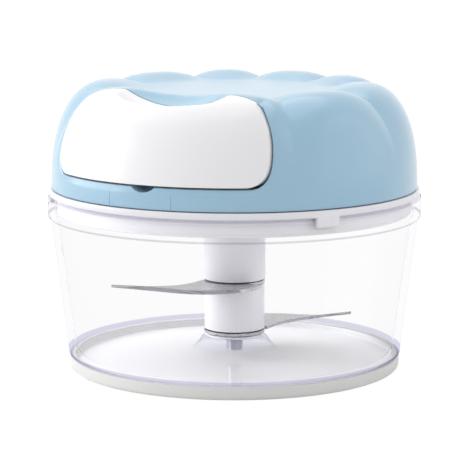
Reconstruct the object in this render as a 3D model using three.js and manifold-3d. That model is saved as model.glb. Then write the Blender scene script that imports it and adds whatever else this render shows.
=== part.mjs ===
// Hand food chopper: a clear bowl with a sickle-bladed post, under a lobed lid with a pull-cord drive.
// Millimetres, +Z up. The origin is the centre of the base's underside. The handle pulls towards -Y.

import * as THREE from "three";
import { mergeVertices } from "three/addons/utils/BufferGeometryUtils.js";
import Module from "manifold-3d";

const wasm = await Module();
wasm.setup();

// Clearances shared by all pieces
const seat = 0.3;
const overrun = 4;

// Bowl
const rimHeight = 58.6;
const rimBandHeight = 6.6;
const rimBandWall = 2.6;
const rimBandStand = 0.9;
const rimEdge = 0.3;
const bowlTaper = 5.7;
const bowlFloor = 3;
const bowlWall = 2.3;
const bowlFootRelief = 0.7;
const bowlCornerRound = 3.2;
const bossHeight = 4.4;
const bossTopRadius = 11;
const bossFootRadius = 14.5;
const bossSocketDepth = 5.2;

// Base
const baseHeight = 4.4;
const baseInset = 0.3;
const baseWall = 2.2;
const baseFloor = 2;
const baseEdgeRound = 2.4;
const baseGrooveDepth = 0.6;
const baseGrooveMargin = 11.9;
const baseGrooveWidth = 22;

// Pivot pin, bearing cap and post
const pinRadius = 2.5;
const capWall = 1.1;
const capLength = 22;
const capRoof = 2;
const coreFlats = 13.6;
const coreWeb = 2.3;
const coreStubRadius = 6;
const footThickness = 0.9;
const footRadius = 10;
const bladeThickness = 1;
const bladeTipGap = 8.4;
const bladeLift = 1.7;
const bladeSpacing = 17.1;
const bladeHubRadius = 10.3;
const upperSleeveRadius = 10.5;
const middleSleeveRadius = 10.2;
const postTopDrop = 1.6;
const upperBladeAngle = 236;

// Lid base
const ringInset = 0.6;
const ringThickness = 2.2;
const skirtHeight = 5.9;
const skirtWall = 2.5;
const skirtGap = 1.3;
const lipHeight = 2.4;
const lipWall = 1.6;
const sealHeight = 2.6;
const sealDepth = 1.2;
const tabWidth = 9.2;
const tabDrop = 3.4;
const tabWall = 1.9;
const tabCount = 3;
const tabAngle = 328;
const tabSideGap = 0.4;

// Lid cover
const coverInset = 0.7;
const coverHeight = 35.2;
const coverWall = 2.2;
const shoulderWidth = 19.5;
const dishSlope = 14;
const dishDepth = 2.6;
const lobeDepth = 2.4;
// Valleys between the lobes lie at these angles to either side of the back; the front has none
const valleyAngles = [18, 48, 90, 132];
const valleyReach = 18;
const bossInset = 13.5;
const bossRadius = 3.4;
const lidScrewRadius = 1.2;
const lidScrewHead = 3;
const lidScrewHeadHeight = 1.8;
const lidScrewLength = 11;
const arborBossRadius = 8;
const arborBossDrop = 1.5;

// Handle and its pocket
const handleHalfWidth = 39.4;
const handleBottom = 7.4;
const handleDepth = 21.9;
const handleWall = 2.6;
const handleGap = 0.4;
const handleShoulderHeight = 25.3;
const handleShoulderInset = 8.5;
const scoopSideInset = 9.8;
const scoopHalfLength = 10.2;
const scoopDepth = 8;
const scoopMiddleInset = 17;
const backPlate = 2.6;
const notchWidth = 9.5;
const notchDepth = 1.8;
const notchReach = 8;
const handleScrewInset = 11.4;
const handleScrewRise = 11.2;
const handleScrewRadius = 1;
const handleScrewHead = 2.3;
const handleScrewHeadHeight = 1.3;
const handleScrewLength = 8;
const handleBossRadius = 3;

// Cord, guide and reel
const cordRadius = 0.9;
const cordRise = 12.6;
const cordTurns = 3.2;
const cordPitchGap = 0.5;
const guideBore = 1.5;
const guideSleeve = 2.7;
const guideFlange = 4.2;
const guideFlangeThickness = 1.2;
const guideLength = 5.2;
const stopRadius = 2.2;
const stopLength = 4;
const drumWall = 1.6;
const grooveWidth = 10;
const grooveDepth = 7;
const flangeThickness = 1.5;
const chamberWall = 1.5;
const hubWall = 2.4;
const springThickness = 0.5;
const springTurns = 6;
const coverLip = 3;
const springCoverThickness = 1.2;
const reelClear = 9;
const arborRadius = 3.5;

// Clutch and drive
const toothCount = 12;
const toothDepth = 2;
const ratchetStep = 1.5;
const ratchetWall = 2.3;
const discInset = 1.5;
const discThickness = 2;
const journalRadius = 8.2;
const driveFlats = 10;
const driveReach = 9.4;
const driveBore = 3.2;
const washerRadius = 4.8;
const washerThickness = 1;
const arborScrewHead = 2.9;
const arborScrewHeadHeight = 1.8;
const arborScrewRadius = 1.2;
const arborScrewLength = 9;
const pawlHubGap = 1.8;
const pawlEyeGap = 3.2;
const pawlThickness = 3;
const pawlEyeRadius = 3;
const pawlPostRadius = 1.5;
const pawlPostHeight = 7;
const pawlTipGap = 0.6;
const pawlTipAngle = -50;
const pawlTipWidth = 2.6;
const pawlFaceGap = 0.5;
const pawlWireRadius = 0.25;
const pawlSpringTurns = 3;
const pawlSpringPitch = 0.95;

// Facet counts
const wideSides = 40;
const coverSides = 60;
const midSides = 32;
const smallSides = 16;
const tinySides = 10;

// Radii that follow, from the reel outwards to the rim and down to the base
const reelBore = arborRadius + seat;
const hubRadius = reelBore + hubWall;
const pawlPlace = hubRadius + pawlHubGap + pawlEyeRadius;
const toothRootRadius = pawlPlace + pawlEyeRadius + pawlEyeGap + toothDepth;
const pawlTipRadius = toothRootRadius - pawlTipGap;
const ratchetRadius = toothRootRadius + ratchetWall;
const discRadius = ratchetRadius - discInset;
const flangeRadius = ratchetRadius + ratchetStep;
const drumRadius = flangeRadius - grooveDepth;
const windingRadius = drumRadius + cordRadius + seat;
const chamberOuter = flangeRadius + chamberWall / 3;
const springCoverRadius = chamberOuter + seat + springCoverThickness;
const guideInnerY = -(springCoverRadius + reelClear);
const pocketBackY = guideInnerY - guideLength;
const handleBackY = pocketBackY - handleGap;
const coverRadius = handleDepth - handleBackY;
const ringRadius = coverRadius + coverInset;
const rimRadius = ringRadius + ringInset;
const bowlHighRadius = rimRadius - rimBandStand;
const bowlLowRadius = bowlHighRadius - bowlTaper;
const baseRadius = bowlLowRadius - baseInset;
const baseGrooveOuter = baseRadius - baseGrooveMargin;
const baseGrooveInner = baseGrooveOuter - baseGrooveWidth;
const bladeTipRadius = bowlLowRadius - bowlWall - bladeTipGap;
const bandInnerRadius = rimRadius - rimBandWall;
const skirtRadius = bandInnerRadius - skirtGap;
const crestRadius = coverRadius - shoulderWidth;
const dishRadius = crestRadius - dishSlope;
const bossPlaces = coverRadius - bossInset;

// Heights and places that follow from the sizes above
const bowlBottom = baseFloor + seat;
const floorTop = bowlBottom + bowlFloor;
const bossTop = floorTop + bossHeight;
const footBottom = bossTop + seat;
const lowerBladeZ = footBottom + footThickness + seat;
const middleSleeveZ = lowerBladeZ + bladeThickness + seat;
const upperBladeZ = lowerBladeZ + bladeSpacing;
const upperSleeveZ = upperBladeZ + bladeThickness + seat;
const ringBottom = rimHeight + seat;
const ringTop = ringBottom + ringThickness;
const coverBottom = ringTop + seat;
const coverTop = coverBottom + coverHeight;
const dishZ = coverTop - dishDepth;
const postTop = ringBottom - postTopDrop;
const driveHexBottom = ringBottom - driveReach;
const handleBottomZ = coverBottom + handleBottom;
const handleShoulderWidth = handleHalfWidth - handleShoulderInset;
const handleScrewSpread = handleHalfWidth - handleScrewInset;
const cordZ = coverBottom + cordRise;
const scoopWidth = handleShoulderWidth - scoopSideInset;
const scoopMiddleBack = coverRadius - scoopMiddleInset;
const discBottom = ringTop + seat;
const discTop = discBottom + discThickness;
const pawlBottom = discTop + seat;
const grooveBottom = cordZ - grooveWidth / 2;
const grooveTop = cordZ + grooveWidth / 2;
const reelBottom = grooveBottom - flangeThickness;
const chamberFloor = grooveTop + flangeThickness;
const springCoverTop = dishZ - coverWall - arborBossDrop - seat;
const chamberTop = springCoverTop - springCoverThickness - seat;
const chamberHeight = chamberTop - chamberFloor;
const coreSocketFloor = driveHexBottom - seat;
const capTop = coreSocketFloor - coreWeb - seat;
const capBore = pinRadius + seat;
const capRadius = capBore + capWall;
const pinBottom = floorTop + bossHeight - bossSocketDepth + seat;
const pinTop = capTop - capRoof - seat;

const colours = {
  cover: { color: 0xbcd9ea, roughness: 0.38, metalness: 0 },
  white: { color: 0xf4f4f6, roughness: 0.35, metalness: 0 },
  clear: { color: 0xeef0f7, roughness: 0.05, metalness: 0, transparent: true, opacity: 0.3 },
  silicone: { color: 0xf1f2ec, roughness: 0.7, metalness: 0 },
  steel: { color: 0xc9ccd1, roughness: 0.22, metalness: 1 },
  grey: { color: 0x9aa0a8, roughness: 0.5, metalness: 0 },
  cord: { color: 0xeae6dc, roughness: 0.85, metalness: 0 },
};

const group = new THREE.Group();

// Closed indexed mesh with shared vertices, no degenerate faces and outward normals
function tidy(source) {
  const bare = source.index ? source.toNonIndexed() : source.clone();
  for (const name of Object.keys(bare.attributes)) {
    if (name !== "position") {
      bare.deleteAttribute(name);
    }
  }
  const merged = mergeVertices(bare, 1e-4);
  const place = merged.attributes.position.array;
  const index = merged.index.array;
  const kept = [];
  let volume = 0;
  for (let i = 0; i < index.length; i += 3) {
    const [a, b, c] = [index[i], index[i + 1], index[i + 2]];
    if (a === b || b === c || c === a) {
      continue;
    }
    kept.push(a, b, c);
    const p = new THREE.Vector3().fromArray(place, 3 * a);
    const q = new THREE.Vector3().fromArray(place, 3 * b);
    const r = new THREE.Vector3().fromArray(place, 3 * c);
    volume += p.dot(q.cross(r));
  }
  if (volume < 0) {
    kept.reverse();
  }
  merged.setIndex(kept);
  return merged;
}

function toSolid(geometry) {
  const closed = tidy(geometry);
  return new wasm.Manifold(
    new wasm.Mesh({
      numProp: 3,
      vertProperties: new Float32Array(closed.attributes.position.array),
      triVerts: new Uint32Array(closed.index.array),
    }),
  );
}

function fromSolid(solid) {
  const mesh = solid.getMesh();
  const geometry = new THREE.BufferGeometry();
  geometry.setAttribute("position", new THREE.BufferAttribute(new Float32Array(mesh.vertProperties), 3));
  geometry.setIndex(new THREE.BufferAttribute(new Uint32Array(mesh.triVerts), 1));
  return geometry;
}

function piece(name, geometry, finish) {
  const mesh = new THREE.Mesh(tidy(geometry), new THREE.MeshStandardMaterial(finish));
  mesh.name = name;
  group.add(mesh);
  return mesh;
}

// Revolve of [radius, height] points about Z. The outline starts and ends on the axis, or is closed here.
function revolve(points, sides) {
  const outline = points.map(([r, z]) => new THREE.Vector2(r, z));
  const first = outline[0];
  const last = outline[outline.length - 1];
  if (first.x > 0 || last.x > 0) {
    outline.push(first.clone());
  }
  return new THREE.LatheGeometry(outline, sides).rotateX(Math.PI / 2);
}

function rod(radius, bottom, top, sides) {
  const cylinder = new THREE.CylinderGeometry(radius, radius, top - bottom, sides);
  return cylinder.rotateX(Math.PI / 2).translate(0, 0, (bottom + top) / 2);
}

// Six-sided bar about Z, given by its width across flats
function hexBar(flats, bottom, top) {
  return rod(flats / Math.sqrt(3), bottom, top, 6);
}

function block(x0, x1, y0, y1, z0, z1) {
  const box = new THREE.BoxGeometry(x1 - x0, y1 - y0, z1 - z0);
  return box.translate((x0 + x1) / 2, (y0 + y1) / 2, (z0 + z1) / 2);
}

function turned(geometry, degrees) {
  return geometry.rotateZ(THREE.MathUtils.degToRad(degrees));
}

// Turns a piece made along +Z to run along -Y, then moves it
function alongY(geometry, x, y, z) {
  return geometry.rotateX(Math.PI / 2).translate(x, y, z);
}

// Arc of an outline corner, as points
function arc(centreR, centreZ, radius, from, to, steps) {
  const points = [];
  for (let i = 0; i <= steps; i++) {
    const angle = THREE.MathUtils.degToRad(from + ((to - from) * i) / steps);
    points.push([centreR + radius * Math.cos(angle), centreZ + radius * Math.sin(angle)]);
  }
  return points;
}

function polar(radius, degrees) {
  const angle = THREE.MathUtils.degToRad(degrees);
  return [radius * Math.cos(angle), radius * Math.sin(angle)];
}

// Pan-headed screw along +Z: the head's underside is at height 0 and the shank runs up
function screw(headRadius, headHeight, shankRadius, length) {
  const driveShare = 0.45;
  const sinkShare = 0.5;
  const roundShare = 0.75;
  const outline = [
    [0, length],
    [shankRadius * roundShare, length],
    [shankRadius, length - shankRadius],
    [shankRadius, 0],
    [headRadius, 0],
    [headRadius, -headHeight * sinkShare],
    [headRadius * roundShare, -headHeight],
    [0, -headHeight],
  ];
  const socket = rod(headRadius * driveShare, -headHeight - overrun, -headHeight * sinkShare, 6);
  return fromSolid(toSolid(revolve(outline, tinySides)).subtract(toSolid(socket)));
}

// Base

function makeBase() {
  const wallInner = baseRadius - baseWall;
  const outline = [
    [0, 0],
    [baseGrooveInner, 0],
    [baseGrooveInner, baseGrooveDepth],
    [baseGrooveOuter, baseGrooveDepth],
    [baseGrooveOuter, 0],
    ...arc(baseRadius - baseEdgeRound, baseEdgeRound, baseEdgeRound, -90, 0, 3),
    [baseRadius, baseHeight],
    [wallInner, baseHeight],
    [wallInner, baseFloor],
    [0, baseFloor],
  ];
  piece("non_slip_base", revolve(outline, wideSides), colours.silicone);
}

// Bowl

const bandBottom = rimHeight - rimBandHeight;
const bowlShoulder = baseHeight + seat;
const cornerStart = -30;

function makeBowl() {
  const foot = baseRadius - baseWall - seat;
  const padRadius = bossFootRadius;
  const reliefEdge = foot - bowlWall - bowlCornerRound / 2;
  const cornerCentre = bowlLowRadius - bowlWall - bowlCornerRound;
  const stepHeight = rimRadius - bowlHighRadius;
  const underBand = bandBottom - stepHeight;
  const flare = bossFootRadius - bossTopRadius;
  const outline = [
    [0, bowlBottom],
    [padRadius, bowlBottom],
    [padRadius, bowlBottom + bowlFootRelief],
    [reliefEdge, bowlBottom + bowlFootRelief],
    [reliefEdge, bowlBottom],
    [foot, bowlBottom],
    [foot, bowlShoulder],
    [bowlLowRadius, bowlShoulder],
    [bowlHighRadius, underBand],
    [rimRadius, bandBottom],
    [rimRadius, rimHeight - rimEdge],
    [rimRadius - rimEdge, rimHeight],
    [bandInnerRadius, rimHeight],
    [bandInnerRadius, bandBottom],
    [bowlHighRadius - bowlWall, underBand],
    [cornerCentre + bowlCornerRound, floorTop + bowlCornerRound],
    ...arc(cornerCentre, floorTop + bowlCornerRound, bowlCornerRound, cornerStart, -90, 2),
    ...arc(bossFootRadius, floorTop + flare, flare, 270, 202.5, 2),
    [bossTopRadius, bossTop - rimEdge],
    [bossTopRadius - rimEdge, bossTop],
    [pinRadius + seat, bossTop],
    [pinRadius + seat, bossTop - bossSocketDepth],
    [0, bossTop - bossSocketDepth],
  ];
  let bowl = toSolid(revolve(outline, wideSides));
  const halfNotch = tabWidth / 2 + tabSideGap;
  const notchFloor = ringBottom - tabDrop - seat;
  for (let i = 0; i < tabCount; i++) {
    const notch = block(
      bandInnerRadius - skirtGap,
      rimRadius + overrun,
      -halfNotch,
      halfNotch,
      notchFloor,
      rimHeight + overrun,
    );
    bowl = bowl.subtract(toSolid(turned(notch, tabAngle + (360 * i) / tabCount)));
  }
  piece("bowl", fromSolid(bowl), colours.clear);
}

// Pivot pin and the cap that turns on it

function makePin() {
  const pin = [
    [0, pinBottom],
    [pinRadius, pinBottom],
    ...arc(0, pinTop - pinRadius, pinRadius, 0, 90, 4),
  ];
  piece("pivot_pin", revolve(pin, smallSides), colours.steel);
  const cap = [
    [capBore, capTop - capLength],
    [capRadius, capTop - capLength],
    [capRadius, capTop - capRoof / 2],
    [capRadius - capRoof / 2, capTop],
    [0, capTop],
    ...arc(0, pinTop - pinRadius, capBore, 90, 0, 4),
  ];
  const closed = [...cap.slice(4), ...cap.slice(0, 4), [0, capTop]];
  piece("pin_cap", revolve(closed, smallSides), colours.grey);
}

// Post: a six-sided core with blades and sleeves threaded on it

function makePost() {
  const coreBore = capRadius + seat;
  const hexClear = coreFlats + 2 * seat;
  const bar = toSolid(hexBar(coreFlats, lowerBladeZ, postTop));
  const stub = toSolid(rod(coreStubRadius, footBottom, lowerBladeZ + overrun, smallSides));
  const bore = toSolid(rod(coreBore, footBottom - overrun, capTop + seat, smallSides));
  const socket = toSolid(hexBar(driveFlats + 2 * seat, coreSocketFloor, postTop + overrun));
  piece("blade_core", fromSolid(bar.add(stub).subtract(bore).subtract(socket)), colours.white);

  const foot = [
    [coreStubRadius + seat, footBottom],
    [footRadius - rimEdge, footBottom],
    [footRadius, footBottom + rimEdge],
    [footRadius, footBottom + footThickness],
    [coreStubRadius + seat, footBottom + footThickness],
  ];
  piece("blade_foot", revolve(foot, midSides), colours.white);

  const sleeves = [
    ["middle_sleeve", middleSleeveRadius, middleSleeveZ, upperBladeZ - seat],
    ["upper_sleeve", upperSleeveRadius, upperSleeveZ, postTop],
  ];
  for (const [name, radius, bottom, top] of sleeves) {
    const outline = [
      [0, bottom],
      [radius - rimEdge, bottom],
      [radius, bottom + rimEdge],
      [radius, top - rimEdge],
      [radius - rimEdge, top],
      [0, top],
    ];
    const hole = toSolid(hexBar(hexClear, bottom - overrun, top + overrun));
    piece(name, fromSolid(toSolid(revolve(outline, midSides)).subtract(hole)), colours.white);
  }
}

// Sickle outline as [turn from the tip in degrees, share of the tip radius]: cutting edge, then back
const edgeShares = [
  [3, 0.9],
  [9, 0.8],
  [16, 0.735],
  [28, 0.68],
  [41, 0.622],
  [53, 0.555],
  [65, 0.49],
  [82, 0.42],
  [102, 0.32],
];
const backShares = [
  [-16, 0.24],
  [-3, 0.42],
  [0.5, 0.62],
  [0.5, 0.82],
];

function sickle(bottom) {
  const toPoint = ([degrees, share]) => new THREE.Vector2(...polar(share * bladeTipRadius, degrees));
  const tip = new THREE.Vector2(bladeTipRadius, 0);
  const edge = new THREE.SplineCurve([tip, ...edgeShares.map(toPoint)]);
  const back = new THREE.SplineCurve([...backShares.map(toPoint), tip]);
  const outline = [...edge.getPoints(16), ...back.getPoints(8).slice(0, -1)];
  const plain = { depth: bladeThickness, bevelEnabled: false };
  const arm = new THREE.ExtrudeGeometry(new THREE.Shape(outline), plain);
  const hub = rod(bladeHubRadius, 0, bladeThickness, midSides);
  const hole = hexBar(coreFlats + 2 * seat, -overrun, bladeThickness + overrun);
  const flat = fromSolid(toSolid(arm).add(toSolid(hub)).subtract(toSolid(hole)));
  const place = flat.attributes.position;
  const start = upperSleeveRadius + bladeThickness;
  for (let i = 0; i < place.count; i++) {
    const reach = Math.max(0, Math.hypot(place.getX(i), place.getY(i)) - start);
    const share = reach / (bladeTipRadius - start);
    place.setZ(i, place.getZ(i) + bladeLift * share * share + bottom);
  }
  return flat;
}

function makeBlades() {
  piece("upper_blade", turned(sickle(upperBladeZ), upperBladeAngle), colours.steel);
  piece("lower_blade", turned(sickle(lowerBladeZ), upperBladeAngle - 180), colours.steel);
}

// Lid base: ring, floor, skirt with a seal groove, locating lip and key tabs

const grooveHalf = sealHeight / 2 + seat;
const skirtBottom = ringBottom - skirtHeight;
const sealRiseShare = 0.4;
const sealZ = skirtBottom + skirtHeight * sealRiseShare;
const hubBore = journalRadius + seat;
const bossAngles = [45, 135, 225, 315];

function makeLidBase() {
  const lipOuter = coverRadius - coverWall - seat;
  const skirtInner = skirtRadius - skirtWall;
  const collar = hubBore + ringThickness;
  const outline = [
    [hubBore, ringBottom],
    [skirtInner, ringBottom],
    [skirtInner, skirtBottom],
    [skirtRadius - rimEdge, skirtBottom],
    [skirtRadius, skirtBottom + rimEdge],
    [skirtRadius, sealZ - grooveHalf],
    [skirtRadius - sealDepth, sealZ - grooveHalf],
    [skirtRadius - sealDepth, sealZ + grooveHalf],
    [skirtRadius, sealZ + grooveHalf],
    [skirtRadius, ringBottom],
    [ringRadius, ringBottom],
    [ringRadius, ringTop],
    [lipOuter, ringTop],
    [lipOuter, ringTop + lipHeight],
    [lipOuter - lipWall, ringTop + lipHeight],
    [lipOuter - lipWall, ringTop],
    [hubBore, ringTop],
  ];
  let base = toSolid(revolve(outline, wideSides));
  const collarRing = revolve(
    [
      [hubBore, ringBottom - rimEdge],
      [collar, ringBottom - rimEdge],
      [collar, ringTop - rimEdge],
      [hubBore, ringTop - rimEdge],
    ],
    midSides,
  );
  base = base.add(toSolid(collarRing));
  for (let i = 0; i < tabCount; i++) {
    const tab = block(
      ringRadius - tabWall,
      ringRadius,
      -tabWidth / 2,
      tabWidth / 2,
      ringBottom - tabDrop,
      ringBottom + ringThickness / 2,
    );
    base = base.add(toSolid(turned(tab, tabAngle + (360 * i) / tabCount)));
  }
  const envelope = toSolid(rod(ringRadius, skirtBottom - overrun, coverTop, wideSides));
  base = base.intersect(envelope);
  for (const angle of bossAngles) {
    const [x, y] = polar(bossPlaces, angle);
    const hole = rod(lidScrewRadius + seat, ringBottom - overrun, ringTop + overrun, tinySides);
    base = base.subtract(toSolid(hole.translate(x, y, 0)));
  }
  piece("lid_base", fromSolid(base), colours.white);

  const sealInner = skirtRadius - sealDepth + seat;
  const sealOuter = bandInnerRadius - seat;
  const seal = [
    [sealInner, sealZ - sealHeight / 2],
    [skirtRadius, sealZ - sealHeight / 2],
    [sealOuter, sealZ - sealHeight / 4],
    [sealOuter, sealZ + sealHeight / 4],
    [skirtRadius, sealZ + sealHeight / 2],
    [sealInner, sealZ + sealHeight / 2],
  ];
  piece("lid_seal", revolve(seal, wideSides), colours.silicone);
  bossAngles.forEach((angle, i) => {
    const [x, y] = polar(bossPlaces, angle);
    const one = screw(lidScrewHead, lidScrewHeadHeight, lidScrewRadius, lidScrewLength);
    piece(`lid_screw_${i + 1}`, one.translate(x, y, ringBottom - seat), colours.steel);
  });
}

// Lid cover: a round shoulder with lobes and a dished top

const shoulderPower = 2.45;
const shoulderSteps = 8;
const dishSteps = 3;
const lobePower = 1.7;
const lobeRiseShares = [0.25, 0.9];

// Outer profile from the bottom edge to the middle of the dish, with its outward normals
function coverProfile() {
  const points = [];
  for (let i = 0; i <= shoulderSteps; i++) {
    const angle = (Math.PI / 2) * (i / shoulderSteps);
    const out = Math.cos(angle) ** (2 / shoulderPower);
    const up = Math.sin(angle) ** (2 / shoulderPower);
    points.push([crestRadius + (coverRadius - crestRadius) * out, coverBottom + coverHeight * up]);
  }
  for (let i = 1; i <= dishSteps; i++) {
    const share = i / dishSteps;
    const r = crestRadius + (dishRadius - crestRadius) * share;
    points.push([r, coverTop - (dishDepth * (1 - Math.cos(Math.PI * share))) / 2]);
  }
  return points.map(([r, z], i) => {
    const [ra, za] = points[Math.max(0, i - 1)];
    const [rb, zb] = points[Math.min(points.length - 1, i + 1)];
    const length = Math.hypot(rb - ra, zb - za);
    return { r, z, nr: (zb - za) / length, nz: (ra - rb) / length };
  });
}

// How far a place sinks into the nearest valley between two lobes, from 0 on a crest to 1 in the valley
function valleyShare(fromBack) {
  const aside = valleyAngles.map((valley) => Math.abs(fromBack - valley));
  return Math.max(0, 1 - Math.min(...aside) / valleyReach) ** lobePower;
}

// Closed skin of the cover's outer form: lobes sink between crests, and inset moves it inwards
function coverForm(inset, sides) {
  const rows = coverProfile();
  const place = [];
  const faces = [];
  const down = coverBottom - (inset > 0 ? overrun : 0);
  rows.unshift({ ...rows[0], z: down });
  rows.forEach(({ r, z, nr, nz }, row) => {
    const rise = (z - coverBottom) / coverHeight;
    const [lobeFoot, lobeFull] = lobeRiseShares;
    const outside = THREE.MathUtils.smoothstep(r, dishRadius, crestRadius);
    const fade = outside * THREE.MathUtils.smoothstep(rise, lobeFoot, lobeFull);
    for (let i = 0; i < sides; i++) {
      const angle = (2 * Math.PI * i) / sides - Math.PI / 2;
      const fromBack = THREE.MathUtils.radToDeg(Math.acos(Math.sin(angle)));
      const sink = lobeDepth * fade * valleyShare(fromBack) + inset;
      const radius = r - nr * sink;
      const height = row === 0 ? z : z - nz * sink;
      place.push(radius * Math.cos(angle), radius * Math.sin(angle), height);
    }
  });
  const count = rows.length;
  for (let row = 0; row + 1 < count; row++) {
    for (let i = 0; i < sides; i++) {
      const next = (i + 1) % sides;
      const a = row * sides + i;
      const b = row * sides + next;
      faces.push(a, b, b + sides, a, b + sides, a + sides);
    }
  }
  const bottomCentre = place.length / 3;
  place.push(0, 0, down);
  const topCentre = bottomCentre + 1;
  place.push(0, 0, dishZ - inset);
  for (let i = 0; i < sides; i++) {
    const next = (i + 1) % sides;
    faces.push(bottomCentre, next, i);
    faces.push(topCentre, (count - 1) * sides + i, (count - 1) * sides + next);
  }
  const geometry = new THREE.BufferGeometry();
  geometry.setAttribute("position", new THREE.Float32BufferAttribute(place, 3));
  geometry.setIndex(faces);
  return geometry;
}

// Side curve of the handle's outline as [share of half width, share of height], from its foot up
const sideCurveShares = [
  [0.86, 0],
  [0.945, 0],
  [1, 0.11],
  [1, 0.28],
  [1, 0.58],
  [0.92, 0.82],
];
const openTopShare = 0.35;
const scoopSteps = 6;

// Handle outline seen from the front, grown by a margin
function handleShape(margin) {
  const w = handleHalfWidth + margin;
  const low = handleBottomZ - margin;
  const top = handleBottomZ + handleShoulderHeight + margin * Math.SQRT1_2;
  const shoulder = handleShoulderWidth + margin * Math.SQRT1_2;
  const tall = top - low;
  const openTop = coverTop + overrun;
  const openWidth = shoulder - (openTop - top) * openTopShare;
  const curve = sideCurveShares.map(([across, up]) => [w * across, low + tall * up]);
  const [foot, footPull, cornerPull, corner, sidePull, shoulderPull] = curve;
  const mirrored = ([x, z]) => [-x, z];
  const shape = new THREE.Shape();
  shape.moveTo(...mirrored(foot));
  shape.lineTo(...foot);
  shape.bezierCurveTo(...footPull, ...cornerPull, ...corner);
  shape.bezierCurveTo(...sidePull, ...shoulderPull, shoulder, top);
  shape.lineTo(openWidth, openTop);
  shape.lineTo(-openWidth, openTop);
  shape.lineTo(-shoulder, top);
  shape.bezierCurveTo(...mirrored(shoulderPull), ...mirrored(sidePull), ...mirrored(corner));
  shape.bezierCurveTo(...mirrored(cornerPull), ...mirrored(footPull), ...mirrored(foot));
  return shape;
}

// Bar with the handle's outline, from a back plane out past the front of the lid
function handleBar(margin, backY, frontY) {
  const plain = { depth: backY - frontY, bevelEnabled: false, curveSegments: 6 };
  const bar = new THREE.ExtrudeGeometry(handleShape(margin), plain);
  return toSolid(bar.rotateX(Math.PI / 2).translate(0, backY, 0));
}

// Shallow finger scoop across the handle's top edge and the cover behind it
function scoop(margin) {
  const ballRadius = (scoopWidth ** 2 + scoopDepth ** 2) / (2 * scoopDepth);
  const middle = coverTop - scoopDepth + ballRadius;
  const grown = ballRadius + margin;
  const top = coverTop + overrun;
  const rim = THREE.MathUtils.radToDeg(Math.asin((top - middle) / grown));
  const form = revolve([...arc(0, middle, grown, -90, rim, scoopSteps), [0, top]], midSides);
  const narrowing = (scoopHalfLength + margin) / (scoopWidth + margin);
  return toSolid(form.scale(1, narrowing, 1).translate(0, -scoopMiddleBack, 0));
}

function makeCover() {
  const frontY = -coverRadius - overrun;
  const pocket = handleBar(handleGap, pocketBackY, frontY);
  const pocketWall = handleBar(handleGap + coverWall, pocketBackY + coverWall, frontY);
  const outer = toSolid(coverForm(0, coverSides));
  const lidInside = toSolid(coverForm(coverWall, (coverSides * 2) / 3));
  let cavity = lidInside.subtract(pocketWall).subtract(scoop(coverWall));
  for (const angle of bossAngles) {
    const [x, y] = polar(bossPlaces, angle);
    cavity = cavity.subtract(toSolid(rod(bossRadius, coverBottom, coverTop, tinySides).translate(x, y, 0)));
  }
  const arborBoss = rod(arborBossRadius, dishZ - coverWall - arborBossDrop, coverTop, midSides);
  cavity = cavity.subtract(toSolid(arborBoss));
  const bossEnd = -pocketBackY - guideLength + seat;
  const guideBoss = rod(guideFlange + seat, bossEnd, -pocketBackY, smallSides);
  cavity = cavity.subtract(toSolid(alongY(guideBoss, 0, 0, cordZ)));
  let cover = outer.subtract(cavity).subtract(pocket).subtract(scoop(0));
  for (const angle of bossAngles) {
    const [x, y] = polar(bossPlaces, angle);
    const reach = coverBottom + lidScrewLength - ringThickness;
    const hole = rod(lidScrewRadius + seat, coverBottom - overrun, reach + seat, tinySides);
    cover = cover.subtract(toSolid(hole.translate(x, y, 0)));
  }
  const arborSeat = dishZ - coverWall + seat;
  const arborHole = rod(arborRadius + seat, arborSeat - overrun, arborSeat, smallSides);
  cover = cover.subtract(toSolid(arborHole));
  const wallFace = -pocketBackY + seat;
  const flangeDepth = guideFlangeThickness + 2 * seat;
  const sleeveHole = rod(guideSleeve + seat, wallFace - overrun - guideLength, wallFace, smallSides);
  const flangeHole = rod(guideFlange + seat, wallFace - flangeDepth, wallFace, smallSides);
  for (const hole of [sleeveHole, flangeHole]) {
    cover = cover.subtract(toSolid(alongY(hole, 0, 0, cordZ)));
  }
  const notchRadius = (notchWidth ** 2 / 4 + notchDepth ** 2) / (2 * notchDepth);
  const notchEnd = coverRadius - notchReach;
  const notch = rod(notchRadius, notchEnd, coverRadius + overrun, midSides).rotateX(Math.PI / 2);
  const notchZ = handleBottomZ - handleGap - notchDepth + notchRadius;
  const notchTop = block(
    -notchWidth,
    notchWidth,
    -coverRadius - 2 * overrun,
    0,
    handleBottomZ + overrun,
    notchZ + notchRadius + overrun,
  );
  cover = cover.subtract(toSolid(notch.translate(0, 0, notchZ)).subtract(toSolid(notchTop)));
  piece("lid_cover", fromSolid(cover), colours.cover);
}

// Pull handle: a hollow grip closed by a back plate

function screwPlaces() {
  return [-handleScrewSpread, handleScrewSpread].map((x) => [x, handleBottomZ + handleScrewRise]);
}

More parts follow.
